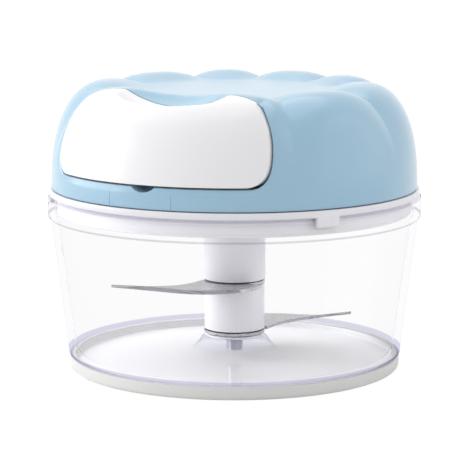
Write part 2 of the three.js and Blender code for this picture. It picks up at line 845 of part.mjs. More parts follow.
function makeHandle() {
  const frontY = -coverRadius - overrun;
  const outer = toSolid(coverForm(0, coverSides));
  const inner = toSolid(coverForm(handleWall, coverSides / 2));
  const body = outer.intersect(handleBar(0, handleBackY, frontY)).subtract(scoop(0));
  const core = handleBar(-handleWall, handleBackY + overrun, frontY);
  let hollow = inner.intersect(core).subtract(scoop(handleWall));
  for (const [x, z] of screwPlaces()) {
    const boss = rod(handleBossRadius, -handleBackY + backPlate + seat, coverRadius, tinySides);
    hollow = hollow.subtract(toSolid(alongY(boss, x, 0, z)));
  }
  let handle = body.subtract(hollow);
  for (const [x, z] of screwPlaces()) {
    const reach = handleScrewLength + seat;
    const pilot = rod(handleScrewRadius + seat, -handleBackY, -handleBackY + reach, tinySides);
    handle = handle.subtract(toSolid(alongY(pilot, x, 0, z)));
  }
  piece("pull_handle", fromSolid(handle), colours.white);

  const plateSpace = toSolid(coverForm(handleWall + seat, coverSides / 2));
  let plate = plateSpace.intersect(handleBar(-handleWall - seat, handleBackY, handleBackY - backPlate));
  plate = plate.subtract(scoop(handleWall + seat));
  const behind = -handleBackY - overrun;
  const cordHole = rod(cordRadius + 2 * seat, behind, behind + backPlate + 2 * overrun, tinySides);
  plate = plate.subtract(toSolid(alongY(cordHole, 0, 0, cordZ)));
  for (const [x, z] of screwPlaces()) {
    const shank = rod(handleScrewRadius + seat, behind, behind + 2 * overrun, tinySides);
    const sink = handleScrewHeadHeight + seat;
    const head = rod(handleScrewHead + seat, behind, -handleBackY + sink, tinySides);
    plate = plate.subtract(toSolid(alongY(shank, x, 0, z)));
    plate = plate.subtract(toSolid(alongY(head, x, 0, z)));
  }
  piece("handle_back", fromSolid(plate), colours.white);

  screwPlaces().forEach(([x, z], i) => {
    const length = handleScrewLength - handleScrewHeadHeight - seat;
    const one = screw(handleScrewHead, handleScrewHeadHeight, handleScrewRadius, length);
    piece(`handle_screw_${i + 1}`, alongY(one, x, handleBackY - handleScrewHeadHeight, z), colours.steel);
  });

  const stopStart = -handleBackY + backPlate + seat;
  const stop = [
    [0, stopStart],
    [stopRadius - rimEdge, stopStart],
    [stopRadius, stopStart + rimEdge],
    [stopRadius, stopStart + stopLength - rimEdge],
    [stopRadius - rimEdge, stopStart + stopLength],
    [0, stopStart + stopLength],
  ];
  piece("cord_stop", alongY(revolve(stop, tinySides), 0, 0, cordZ), colours.steel);
}

// Cord: turns on the drum, the stretch to the guide, and the lead to the handle

const cordBendY = guideInnerY + seat + cordRadius;
const cordLeaveAngle = Math.acos(windingRadius / -cordBendY);
const windingPitch = 2 * cordRadius + cordPitchGap;
const windingTop = cordZ + (cordTurns * windingPitch) / 2;
const runShares = [0.02, 0.5, 0.93];

function cordAlong(points, sides, steps) {
  const curve = new THREE.CatmullRomCurve3(points, false, "centripetal");
  const ring = new THREE.Shape();
  for (let i = 0; i < sides; i++) {
    const [x, y] = polar(cordRadius, (360 * i) / sides);
    ring[i === 0 ? "moveTo" : "lineTo"](x, y);
  }
  ring.closePath();
  return new THREE.ExtrudeGeometry(ring, { steps, extrudePath: curve, bevelEnabled: false });
}

// Unbroken coil of round wire about Z, rising as it turns, with flat ends
function coil(radius, wire, bottom, pitch, turns, startAngle, stepsPerTurn, sides) {
  const place = [];
  const faces = [];
  const steps = Math.round(turns * stepsPerTurn);
  for (let i = 0; i <= steps; i++) {
    const share = i / steps;
    const angle = startAngle + 2 * Math.PI * turns * share;
    const z = bottom + pitch * turns * share;
    for (let j = 0; j < sides; j++) {
      const [out, up] = polar(wire, (360 * j) / sides);
      place.push((radius + out) * Math.cos(angle), (radius + out) * Math.sin(angle), z + up);
    }
  }
  for (let i = 0; i < steps; i++) {
    for (let j = 0; j < sides; j++) {
      const a = i * sides + j;
      const b = i * sides + ((j + 1) % sides);
      faces.push(a, b, b + sides, a, b + sides, a + sides);
    }
  }
  for (let j = 1; j + 1 < sides; j++) {
    faces.push(0, j + 1, j);
    faces.push(steps * sides, steps * sides + j, steps * sides + j + 1);
  }
  const geometry = new THREE.BufferGeometry();
  geometry.setAttribute("position", new THREE.Float32BufferAttribute(place, 3));
  geometry.setIndex(faces);
  return geometry;
}

function makeCord() {
  const leave = -Math.PI / 2 - cordLeaveAngle;
  const start = leave - 2 * Math.PI * cordTurns - seat / windingRadius;
  const bottom = windingTop - cordTurns * windingPitch;
  const winding = coil(windingRadius, cordRadius, bottom, windingPitch, cordTurns, start, 16, 6);
  piece("cord_winding", winding, colours.cord);
  console.log("cord winding: least gap between turns", (windingPitch - 2 * cordRadius).toFixed(2), "mm");

  const leavePoint = new THREE.Vector3(
    windingRadius * Math.cos(leave),
    windingRadius * Math.sin(leave),
    windingTop,
  );
  const bend = new THREE.Vector3(0, cordBendY, cordZ);
  const straight = runShares.map((share) => leavePoint.clone().lerp(bend, share));
  const inGuide = new THREE.Vector3(0, guideInnerY - guideLength / 2, cordZ);
  const end = new THREE.Vector3(0, pocketBackY - seat / 2, cordZ);
  const run = cordAlong([...straight, inGuide, end], 8, 12);
  piece("cord_run", run, colours.cord);

  const leadStart = pocketBackY - seat / 2 - seat;
  const leadEnd = handleBackY - backPlate;
  const lead = rod(cordRadius, -leadStart, -leadEnd, 8);
  piece("cord_lead", alongY(lead, 0, 0, cordZ), colours.cord);

  const guide = [
    [guideBore, -guideInnerY + guideFlangeThickness / 2],
    [guideBore + guideFlangeThickness / 2, -guideInnerY],
    [guideSleeve, -guideInnerY],
    [guideSleeve, -pocketBackY - guideFlangeThickness],
    [guideFlange, -pocketBackY - guideFlangeThickness],
    [guideFlange, -pocketBackY - rimEdge],
    [guideFlange - rimEdge, -pocketBackY],
    [guideBore + guideFlangeThickness / 2, -pocketBackY],
    [guideBore, -pocketBackY - guideFlangeThickness / 2],
  ];
  piece("cord_guide", alongY(revolve(guide, smallSides), 0, 0, cordZ), colours.grey);
}

// Reel: cord drum, spring chamber and inward-facing ratchet teeth

const toothMiddleShare = 0.45;

// Angle where the circle that the pawl's tip swings on, grown by the face gap, crosses a radius
function toothFaceAngle(radius) {
  const [tipX, tipY] = polar(pawlTipRadius, pawlTipAngle);
  const swing = Math.hypot(tipX - pawlPlace, tipY) + pawlFaceGap;
  const cosine = (radius ** 2 + pawlPlace ** 2 - swing ** 2) / (2 * radius * pawlPlace);
  return -THREE.MathUtils.radToDeg(Math.acos(cosine));
}

// Ring of teeth whose faces follow the pawl's swing, so that a pawl lifts clear of them
function ratchetRing() {
  const bottom = pawlBottom + seat;
  const top = reelBottom + flangeThickness / 2;
  const shape = new THREE.Shape();
  shape.absarc(0, 0, ratchetRadius, 0, 2 * Math.PI, false);
  const teeth = new THREE.Path();
  const crownRadius = toothRootRadius - toothDepth;
  const root = toothFaceAngle(toothRootRadius);
  const crown = toothFaceAngle(crownRadius);
  for (let i = 0; i < toothCount; i++) {
    const face = root + (360 * i) / toothCount;
    const next = crown + (360 * (i + 1)) / toothCount;
    const half = (face + next) / 2;
    const [rootX, rootY] = polar(toothRootRadius, face);
    const [midX, midY] = polar(toothRootRadius - toothDepth * toothMiddleShare, half);
    const [endX, endY] = polar(crownRadius, next);
    if (i === 0) {
      teeth.moveTo(rootX, rootY);
    } else {
      teeth.lineTo(rootX, rootY);
    }
    teeth.lineTo(midX, midY);
    teeth.lineTo(endX, endY);
  }
  teeth.closePath();
  shape.holes.push(teeth);
  const ring = new THREE.ExtrudeGeometry(shape, {
    depth: top - bottom,
    bevelEnabled: false,
    curveSegments: midSides,
  });
  return toSolid(ring.translate(0, 0, bottom));
}

function makeReel() {
  const drumInner = drumRadius - drumWall;
  const outline = [
    [reelBore, reelBottom],
    [hubRadius, reelBottom],
    [hubRadius, grooveTop],
    [drumInner, grooveTop],
    [drumInner, reelBottom],
    [flangeRadius, reelBottom],
    [flangeRadius, grooveBottom],
    [drumRadius, grooveBottom],
    [drumRadius, grooveTop],
    [chamberOuter, grooveTop],
    [chamberOuter, chamberTop],
    [chamberOuter - chamberWall, chamberTop],
    [chamberOuter - chamberWall, chamberFloor],
    [reelBore, chamberFloor],
  ];
  const reel = toSolid(revolve(outline, midSides)).add(ratchetRing());
  piece("cord_reel", fromSolid(reel), colours.white);

  const capBottom = chamberTop + seat;
  const lipInner = chamberOuter + seat;
  const cap = [
    [arborRadius + 2 * seat, capBottom],
    [lipInner, capBottom],
    [lipInner, capBottom - coverLip],
    [springCoverRadius, capBottom - coverLip],
    [springCoverRadius, capBottom + springCoverThickness],
    [arborRadius + 2 * seat, capBottom + springCoverThickness],
  ];
  piece("spring_cover", revolve(cap, midSides), colours.grey);
  makeMainspring(chamberOuter - chamberWall);
}

function makeMainspring(chamberInner) {
  const inner = arborRadius + 2 * seat;
  const outer = chamberInner - seat - springThickness;
  const steps = springTurns * 14;
  const band = (offset) => {
    const side = [];
    for (let i = 0; i <= steps; i++) {
      const share = i / steps;
      const angle = 360 * springTurns * share;
      side.push(new THREE.Vector2(...polar(inner + (outer - inner) * share + offset, angle)));
    }
    return side;
  };
  const outline = [...band(0), ...band(springThickness).reverse()];
  const depth = chamberHeight - 2 * seat;
  const strip = new THREE.ExtrudeGeometry(new THREE.Shape(outline), { depth, bevelEnabled: false });
  piece("mainspring", strip.translate(0, 0, chamberFloor + seat), colours.steel);
  const pitch = (outer - inner) / springTurns - springThickness;
  console.log("mainspring: least gap between turns", pitch.toFixed(2), "mm");
}

// Drive: clutch disc with pawl posts, a journal in the lid base and a six-sided driver into the post

const arborBottom = discTop - discThickness / 2 - seat;

function makeDrive() {
  const journalBottom = ringBottom - seat;
  const washerRoom = washerRadius + seat;
  const roof = discTop - discThickness / 2;
  const thrust = reelBottom - seat;
  const outline = [
    [0, journalBottom],
    [journalRadius, journalBottom],
    [journalRadius, discBottom],
    [discRadius, discBottom],
    [discRadius, discTop],
    [hubRadius, discTop],
    [hubRadius, thrust],
    [0, thrust],
  ];
  const driver = toSolid(hexBar(driveFlats, driveHexBottom, journalBottom + overrun));
  let drive = toSolid(revolve(outline, midSides)).add(driver);
  for (const side of [1, -1]) {
    const post = rod(pawlPostRadius, discTop - seat, discTop + pawlPostHeight, tinySides);
    drive = drive.add(toSolid(post.translate(side * pawlPlace, 0, 0)));
  }
  const throat = toSolid(rod(driveBore, driveHexBottom - overrun, roof, smallSides));
  const room = toSolid(rod(washerRoom, journalBottom, roof, smallSides));
  const axleHole = toSolid(rod(reelBore, roof - overrun, thrust + overrun, smallSides));
  drive = drive.subtract(throat).subtract(room).subtract(axleHole);
  piece("drive_coupling", fromSolid(drive), colours.white);
}

function makeArbor() {
  const top = dishZ - coverWall;
  const arbor = [
    [0, arborBottom],
    [arborRadius - rimEdge, arborBottom],
    [arborRadius, arborBottom + rimEdge],
    [arborRadius, top],
    [0, top],
  ];
  const slotEnd = arborRadius + overrun;
  const slot = block(-springThickness, springThickness, 0, slotEnd, chamberFloor, chamberTop);
  const holeTop = arborBottom + arborScrewLength;
  const hole = rod(arborScrewRadius + seat, arborBottom - overrun, holeTop, tinySides);
  const solid = toSolid(revolve(arbor, smallSides)).subtract(toSolid(slot)).subtract(toSolid(hole));
  piece("spring_arbor", fromSolid(solid), colours.steel);

  const washerTop = arborBottom - seat;
  const washer = [
    [arborScrewRadius + seat, washerTop - washerThickness],
    [washerRadius, washerTop - washerThickness],
    [washerRadius, washerTop],
    [arborScrewRadius + seat, washerTop],
  ];
  piece("arbor_washer", revolve(washer, smallSides), colours.steel);
  const one = screw(arborScrewHead, arborScrewHeadHeight, arborScrewRadius, arborScrewLength);
  piece("arbor_screw", one.translate(0, 0, washerTop - washerThickness - seat), colours.steel);
}

// Pawls: struts from the disc's posts to the reel's teeth, each with a small coil spring on its post

function makePawls() {
  const [tipX, tipY] = polar(pawlTipRadius, pawlTipAngle);
  const half = pawlTipWidth / 2;
  const outline = new THREE.Shape();
  outline.moveTo(tipX, tipY);
  outline.lineTo(pawlPlace + pawlEyeRadius, 0);
  outline.absarc(pawlPlace, 0, pawlEyeRadius, 0, Math.PI, false);
  outline.lineTo(tipX - pawlTipWidth, tipY + half);
  outline.lineTo(tipX - half, tipY);
  outline.closePath();
  const eye = new THREE.Path();
  eye.absarc(pawlPlace, 0, pawlPostRadius + seat, 0, 2 * Math.PI, true);
  outline.holes.push(eye);
  const sides = [
    ["left", 0],
    ["right", 180],
  ];
  const plain = { depth: pawlThickness, bevelEnabled: false, curveSegments: 8 };
  for (const [side, angle] of sides) {
    const pawl = new THREE.ExtrudeGeometry(outline, plain);
    piece(`pawl_${side}`, turned(pawl.translate(0, 0, pawlBottom), angle), colours.grey);
    const springRadius = pawlPostRadius + seat + pawlWireRadius;
    const bottom = pawlBottom + pawlThickness + seat + pawlWireRadius;
    const spring = coil(springRadius, pawlWireRadius, bottom, pawlSpringPitch, pawlSpringTurns, 0, 8, 5);
    piece(`pawl_spring_${side}`, turned(spring.translate(pawlPlace, 0, 0), angle), colours.steel);
  }
}

makeBase();
makeBowl();
makePin();
makePost();
makeBlades();
makeLidBase();
makeCover();
makeHandle();
makeCord();
makeReel();
makeDrive();
makeArbor();
makePawls();

export default group;
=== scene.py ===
"""Hand food chopper worked by a pull handle, dressed over its solid frame.

Sizes are in millimetres and become metres through MM, apart from those of the camera, the lamps and
the floor, which are in metres. +Z is up and the handle pulls towards -Y.
"""

import math

import bpy
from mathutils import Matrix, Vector
from mathutils.kdtree import KDTree


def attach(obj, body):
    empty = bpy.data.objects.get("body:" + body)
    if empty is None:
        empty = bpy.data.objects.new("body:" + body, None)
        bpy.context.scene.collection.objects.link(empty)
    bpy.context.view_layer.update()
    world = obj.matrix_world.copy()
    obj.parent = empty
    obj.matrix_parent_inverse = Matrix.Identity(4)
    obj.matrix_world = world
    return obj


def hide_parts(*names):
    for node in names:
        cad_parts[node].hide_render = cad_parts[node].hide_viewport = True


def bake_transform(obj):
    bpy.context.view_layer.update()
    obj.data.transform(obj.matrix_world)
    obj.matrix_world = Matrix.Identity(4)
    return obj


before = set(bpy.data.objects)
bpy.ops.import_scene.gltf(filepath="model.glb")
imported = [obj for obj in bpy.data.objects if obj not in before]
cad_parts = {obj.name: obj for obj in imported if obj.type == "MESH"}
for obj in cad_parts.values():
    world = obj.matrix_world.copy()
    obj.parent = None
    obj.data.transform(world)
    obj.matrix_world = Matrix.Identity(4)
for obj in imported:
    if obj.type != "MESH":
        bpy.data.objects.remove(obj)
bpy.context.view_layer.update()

MM = 0.001

# Soft base
BASE_RADIUS = 55.9
BASE_HEIGHT = 4.4
SEAT_RADIUS = 53.7
SEAT_HEIGHT = 2
RECESS_INNER = 22
RECESS_OUTER = 44
RECESS_DEPTH = 0.6

# Bowl
RIM_RADIUS = 62.8
RIM_HEIGHT = 58.6
BAND_INNER = 60.2
BAND_BOTTOM = 52.0
UNDER_BAND = 51.1
BOWL_HIGH = 61.9
BOWL_LOW = 56.2
BOWL_WALL = 2.3
BOWL_SHOULDER = 4.7
BOWL_FOOT = 53.4
BOWL_BOTTOM = 2.3
BOWL_FLOOR = 5.3
FLOOR_RADIUS = 53.6
BOSS_FOOT = 14.8
BOSS_WAIST = 12.2
BOSS_WAIST_HEIGHT = 7.6
BOSS_RADIUS = 11
BOSS_TOP = 9.7
PIN_HOLE_RADIUS = 2.8
PIN_HOLE_BOTTOM = 4.5
NOTCH_HALF = 5
NOTCH_BOTTOM = 55.2

# Lid base and its seal
RING_RADIUS = 62.2
RING_BOTTOM = 58.9
RING_TOP = 61.1
SKIRT_RADIUS = 59.5
SKIRT_INNER = 56.4
SKIRT_BOTTOM = 53.0
DRIVE_HOLE = 8.5
DRIVE_LIP = 10.7
DRIVE_LIP_BOTTOM = 58.6
SPIGOT_RADIUS = 59
SPIGOT_INNER = 57.4
SPIGOT_TOP = 63.5
GROOVE_RADIUS = 57.7
GROOVE_LOW = 53.8
GROOVE_HIGH = 56.92
SEAL_RADIUS = 59.6
SEAL_INNER = 58
SEAL_PLAY = 0.02
KEY_ANGLES = [328, 88, 208]
TAB_HALF = 4.25
TAB_BOTTOM = 55.5
SCREW_CIRCLE = 48.0
SCREW_ANGLES = [45, 135, 225, 315]
SCREW_HOLE = 1.5
SCREW_BOSS = 3.4

# Cover
COVER_RADIUS = 61.5
COVER_BOTTOM = 61.4
COVER_TOP = 96.6
CREST_RADIUS = 42.0
DISH_RADIUS = 28.0
DISH_DEPTH = 2.6
COVER_WALL = 2.2
LOBE_DEPTH = 2.4
LOBE_START = 0.25
LOBE_FULL = 0.9
VALLEYS = [18, 48, 90, 132]
VALLEY_REACH = 18
VALLEY_POWER = 2.4
SHOULDER_POWER = 2.45
MOULD_LINE_ASIDE = 11.3
MOULD_LINE_HALF = 0.12
MOULD_LINE_FACE = -60.34
CRESCENT_RADIUS = 6.0
CRESCENT_HEIGHT = 72.6
CRESCENT_TOP = 72
ARBOR_BOSS = 8
ARBOR_BOSS_LOW = 90.3
ARBOR_HOLE = 3.8
ARBOR_HOLE_TOP = 92.1

# Handle, its pocket and the finger scoop
HANDLE_HALF = 38.9
HANDLE_ASIDE = -0.4
HANDLE_BOTTOM = 69.0
HANDLE_TOP = 94.1
SHOULDER_HALF = 30.9
HANDLE_BACK = -39.6
POCKET_BACK = -39.2
HANDLE_GAP = 0.75
HANDLE_WALL = 2.6
ROLL_WIDTH = 1.9
ROLL_DEPTH = 0.55
SCOOP = {"half": 21.2, "long": 11.0, "deep": 6.0, "x": 1.2, "y": -44}
RIM_ROUND = 3.0
CORD_HEIGHT = 74.0
CORD_RADIUS = 0.9
GUIDE_RADIUS = 4.5
GUIDE_HOLE = 3
GRIP_SCREW_SPREAD = 28.0
GRIP_SCREW_HEIGHT = 80.0
GRIP_SCREW_BOSS = 3
GRIP_SCREW_HOLE = 1.3
FRONT = -COVER_RADIUS - 4

# Post. The six-sided core is measured across its flats, with its play. A sleeve has a piece's name,
# the solid that it replaces, a radius and the heights of its ends.
CORE_ACROSS = 14.2
HEX_RADIUS = CORE_ACROSS / math.sqrt(3)
SLEEVES = [
    ("upper_post_sleeve", "upper_sleeve", 10.5, 29.6, 57.3),
    ("middle_post_sleeve", "middle_sleeve", 10.2, 12.5, 28.0),
    ("blade_foot_ring", "blade_foot", 10.0, 10.0, 10.9),
]

# Blades. Their outline runs through places given as degrees from the tip and a share of its radius.
# A blade has a piece's name, the solid that it replaces, a height and a turn about Z.
BLADES = [
    ("upper_sickle_blade", "upper_blade", 28.3, 236),
    ("lower_sickle_blade", "lower_blade", 11.2, 56),
]
BLADE_THICKNESS = 1
TIP_RADIUS = 45.5
TIP_RISE = 1.7
HUB_RADIUS = 10.3
HUB_INSET = 0.02
BEND_START = 11.5
GRIND_WIDTH = 2.4
EDGE_SHARES = [
    (3, 0.9), (9, 0.8), (16, 0.735), (28, 0.68), (41, 0.622),
    (53, 0.555), (65, 0.49), (82, 0.42), (102, 0.32),
]
BACK_SHARES = [(-16, 0.24), (5, 0.39), (8, 0.57), (4.5, 0.8)]

# Cord: its turns on the drum, and its ends at the guide and in the grip
WINDING_RADIUS = 17.2
WINDING_PITCH = 2.3
WINDING_TURNS = 3.2
WINDING_TOP = 77.68
LEAVE_ANGLE = -148.373
GUIDE_BACK = -32.8
GUIDE_FRONT = -39.35
LEAD_START = -39.65
LEAD_END = -42.2
STRAND_SCALE = 0.3143

# Camera, fitted to the photograph
CAMERA_PLACE = (0.3728, -0.6589, 0.1691)
CAMERA_AIM = (0, 0, 0.0441)
CAMERA_LENS = 173.5
CAMERA_SHIFT = (0.0011, 0.001)

# Lamps by place, size and power. The surround and floor look white but light the object less.
LAMPS = {
    "top_lamp": ((-0.3, 0.05, 1.05), 1.7, 8.8),
    "left_lamp": ((-0.95, -0.46, 0.24), 1.0, 7.4),
    "right_lamp": ((1.0, 0.35, 0.4), 1.3, 2.4),
}
LAMP_AIM = (0, 0, 0.05)
SURROUND_LIGHT = 0.63
FLOOR_SIZE = 12
FLOOR_DROP = 0.0002
FLOOR_GLOW = 1.03
FLOOR_GLOW_SHARE = 0.95


# Selecting and finishing

def rest_selection():
    """Object mode, with nothing selected."""
    if bpy.context.mode != "OBJECT":
        bpy.ops.object.mode_set(mode="OBJECT")
    bpy.ops.object.select_all(action="DESELECT")


def hold(piece):
    """Selects one piece alone and makes it active."""
    rest_selection()
    piece.select_set(True)
    bpy.context.view_layer.objects.active = piece


def added(name):
    """Names the piece that an operator has just added."""
    piece = bpy.context.active_object
    piece.name = name
    piece.data.name = name
    return piece


def apply(piece, kind, **settings):
    """Adds one modifier and applies it at once."""
    hold(piece)
    modifier = piece.modifiers.new(kind.lower(), kind)
    for key, value in settings.items():
        setattr(modifier, key, value)
    bpy.ops.object.modifier_apply(modifier=modifier.name)
    return piece


def cut(piece, cutter, operation="DIFFERENCE"):
    """Cuts one piece out of another, or joins or crosses the two, and uses the cutter up."""
    apply(piece, "BOOLEAN", operation=operation, object=cutter, solver="EXACT")
    bpy.data.objects.remove(cutter, do_unlink=True)


def copy_of(piece, name):
    """Copy of a piece with a mesh of its own."""
    twin = piece.copy()
    twin.data = piece.data.copy()
    twin.name = name
    twin.data.name = name
    bpy.context.scene.collection.objects.link(twin)
    return twin


def seat_at_origin(piece):
    """Moves the piece's place, turn and scale into its mesh."""
    hold(piece)
    bpy.ops.object.transform_apply(location=True, rotation=True, scale=True)
    return piece


def face_out(piece):
    """Joins points that meet and turns all faces outwards."""
    hold(piece)
    bpy.ops.object.mode_set(mode="EDIT")
    bpy.ops.mesh.select_all(action="SELECT")
    bpy.ops.mesh.remove_doubles(threshold=0.002 * MM)
    bpy.ops.mesh.normals_make_consistent(inside=False)
    bpy.ops.object.mode_set(mode="OBJECT")
    return piece


def smooth(piece, degrees=30):
    hold(piece)
    bpy.ops.object.shade_smooth_by_angle(angle=math.radians(degrees))
    return piece


def paint(piece, material):
    """Gives a piece one material alone."""
    piece.data.materials.clear()
    piece.data.materials.append(material)


def dress(piece, material, body, slot, *nodes):
    """Material, body and the solids that the piece stands for. The finish slot is not used."""
    seat_at_origin(piece)
    paint(piece, material)
    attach(piece, body)
    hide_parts(*nodes)


# Shapes drawn as an outline

def eased(corners, steps=4, closed=False):
    """Outline through corners of (across, up, round), with each rounded corner drawn as an arc."""
    points = []
    count = len(corners)
    for i, (x, z, ease) in enumerate(corners):
        here = Vector((x, z))
        if not ease or (not closed and i in (0, count - 1)):
            points.append((x, z))
            continue
        before = Vector(corners[i - 1][:2]) - here
        after = Vector(corners[(i + 1) % count][:2]) - here
        before_way, after_way = before.normalized(), after.normalized()
        half = before_way.angle(after_way) / 2
        reach = min(ease / math.tan(half), before.length * 0.49, after.length * 0.49)
        ease = reach * math.tan(half)
        centre = here + (before_way + after_way).normalized() * (ease / math.sin(half))
        first = here + before_way * reach - centre
        last = here + after_way * reach - centre
        sweep = first.angle_signed(last)
        for k in range(steps + 1):
            turn = -sweep * k / steps
            spot = centre + Vector((
                first.x * math.cos(turn) - first.y * math.sin(turn),
                first.x * math.sin(turn) + first.y * math.cos(turn),
            ))
            points.append((spot.x, spot.y))
    return points


def chain(name, points, flat_y=0.0):
    """Chain of edges in an upright plane, extruded from point to point. Left in edit mode."""
    rest_selection()
    bpy.ops.mesh.primitive_plane_add(size=MM)
    piece = added(name)
    bpy.ops.object.mode_set(mode="EDIT")
    bpy.ops.mesh.select_all(action="SELECT")
    bpy.ops.mesh.merge(type="CENTER")
    x, z = points[0]
    bpy.ops.transform.translate(value=(x * MM, flat_y * MM, z * MM))
    for (xa, za), (xb, zb) in zip(points, points[1:]):
        step = ((xb - xa) * MM, 0, (zb - za) * MM)
        bpy.ops.mesh.extrude_region_move(TRANSFORM_OT_translate={"value": step})
    return piece


def turned(name, points, steps=160):
    """Solid of revolution about Z from an outline of (radius, height) points."""
    if points[0][0] > 0 or points[-1][0] > 0:
        points = points + points[:1]
    piece = chain(name, points)
    bpy.ops.mesh.select_all(action="SELECT")
    bpy.ops.mesh.spin(steps=steps, angle=2 * math.pi, center=(0, 0, 0), axis=(0, 0, 1))
    bpy.ops.object.mode_set(mode="OBJECT")
    return face_out(piece)


def prism(name, points, back, front):
    """Outline of (x, height) points, filled at y = back and pulled along Y to y = front."""
    piece = chain(name, points, back)
    bpy.ops.mesh.select_all(action="SELECT")
    bpy.ops.mesh.edge_face_add()
    bpy.ops.mesh.extrude_region_move(TRANSFORM_OT_translate={"value": (0, (front - back) * MM, 0)})
    bpy.ops.object.mode_set(mode="OBJECT")
    return face_out(piece)


def plate(name, points, low, high):
    """Outline of (x, y) points, filled flat at one height and raised to another."""
    piece = prism(name, points, 0, low - high)
    piece.rotation_euler = (-math.pi / 2, 0, 0)
    seat_at_origin(piece)
    piece.location = (0, 0, low * MM)
    return seat_at_origin(piece)


def bar(name, radius, place, low, high, sides=32, along="Z"):
    """Round or many-sided bar along Z or Y, with its ends at two places on that axis."""
    rest_selection()
    middle = (low + high) / 2 * MM
    x, y, z = (value * MM for value in place)
    spot, lean = ((x, y, middle), 0) if along == "Z" else ((x, middle, z), math.pi / 2)
    bpy.ops.mesh.primitive_cylinder_add(
        vertices=sides, radius=radius * MM, depth=(high - low) * MM, location=spot,
        rotation=(lean, 0, 0),
    )
    return seat_at_origin(added(name))


def box(name, low, high, turn=0.0):
    """Block between two corners, turned about Z by some degrees."""
    rest_selection()
    centre = [(a + b) / 2 * MM for a, b in zip(low, high)]
    bpy.ops.mesh.primitive_cube_add(size=1, location=centre)
    piece = added(name)
    piece.scale = [(b - a) * MM for a, b in zip(low, high)]
    seat_at_origin(piece)
    piece.rotation_euler = (0, 0, math.radians(turn))
    return seat_at_origin(piece)


def at_angle(radius, degrees):
    """Place on a circle about Z."""
    turn = math.radians(degrees)
    return radius * math.cos(turn), radius * math.sin(turn)


# Finishes

def new_material(name):
    """Material with its node tree and its main shader."""
    material = bpy.data.materials.new(name)
    material.use_nodes = True
    tree = material.node_tree
    shader = tree.nodes["Principled BSDF"]
    return material, tree, shader


def node(tree, kind, **values):
    """Node with settings or input values by name, where _ in an input's name stands for a space."""
    made = tree.nodes.new(kind)
    for key, value in values.items():
        if hasattr(made, key):
            setattr(made, key, value)
        else:
            made.inputs[key.replace("_", " ")].default_value = value
    return made


def noise(tree, scale, detail=4.0, stretch=(1, 1, 1)):
    """Noise over the piece's own coordinates, stretched along its axes."""
    place = node(tree, "ShaderNodeTexCoord")
    lay = node(tree, "ShaderNodeMapping")
    lay.inputs["Scale"].default_value = stretch
    cloud = node(tree, "ShaderNodeTexNoise", Scale=scale, Detail=detail)
    tree.links.new(place.outputs["Object"], lay.inputs["Vector"])
    tree.links.new(lay.outputs["Vector"], cloud.inputs["Vector"])
    return cloud.outputs["Fac"]


def between(tree, share, low, high):
    """Maps the middle of a noise to a range of values."""
    spread = node(tree, "ShaderNodeMapRange", From_Min=0.3, From_Max=0.7, To_Min=low, To_Max=high)
    tree.links.new(share, spread.inputs["Value"])
    return spread.outputs["Result"]


# Places of the factor, the two colours and the result among a colour mix node's sockets
MIX_SHARE, MIX_LOW, MIX_HIGH, MIX_RESULT = 0, 6, 7, 2


def tinted(tree, share, low, high):
    """Blends a colour, or a socket that gives one, into another colour."""
    blend = node(tree, "ShaderNodeMix", data_type="RGBA")
    if isinstance(low, bpy.types.NodeSocket):
        tree.links.new(low, blend.inputs[MIX_LOW])
    else:
        blend.inputs[MIX_LOW].default_value = (*low, 1)
    blend.inputs[MIX_HIGH].default_value = (*high, 1)
    tree.links.new(share, blend.inputs[MIX_SHARE])
    return blend.outputs[MIX_RESULT]


def span(tree, socket, low, high):
    """0 at one value of a socket and 1 at another, whichever is the larger."""
    ramp = node(tree, "ShaderNodeMapRange", From_Min=low, From_Max=high)
    tree.links.new(socket, ramp.inputs["Value"])
    return ramp.outputs["Result"]


def product(tree, first, second):
    """Product of a socket with a socket or a number."""
    times = node(tree, "ShaderNodeMath", operation="MULTIPLY")
    tree.links.new(first, times.inputs[0])
    if isinstance(second, (int, float)):
        times.inputs[1].default_value = second
    else:
        tree.links.new(second, times.inputs[1])
    return times.outputs[0]


def mixed(tree, share, low_shader, high_shader):
    """Blends one shader into another."""
    mix = node(tree, "ShaderNodeMixShader")
    tree.links.new(share, mix.inputs[0])
    tree.links.new(low_shader, mix.inputs[1])
    tree.links.new(high_shader, mix.inputs[2])
    return mix.outputs[0]


def bumped(tree, share, height, distance):
    """Fine relief from a socket."""
    bump = node(tree, "ShaderNodeBump", Strength=height, Distance=distance * MM)
    tree.links.new(share, bump.inputs["Height"])
    return bump.outputs["Normal"]


def moulded(name, colour, rough, change=0.015, gloss_change=0.05, grain=900, height=0.05, **values):
    """Moulded plastic: faint clouding of the colour, uneven gloss and a fine skin."""
    material, tree, shader = new_material(name)
    cloud = between(tree, noise(tree, 45), 0, 1)
    pale = [min(1, value * (1 + change)) for value in colour]
    deep = [value * (1 - change) for value in colour]
    tree.links.new(tinted(tree, cloud, deep, pale), shader.inputs["Base Color"])
    patch = between(tree, noise(tree, 160, 6), rough - gloss_change, rough + gloss_change)
    tree.links.new(patch, shader.inputs["Roughness"])
    skin = bumped(tree, noise(tree, grain, 3), height, 0.05)
    tree.links.new(skin, shader.inputs["Normal"])
    for key, value in values.items():
        shader.inputs[key.replace("_", " ")].default_value = value
    return material


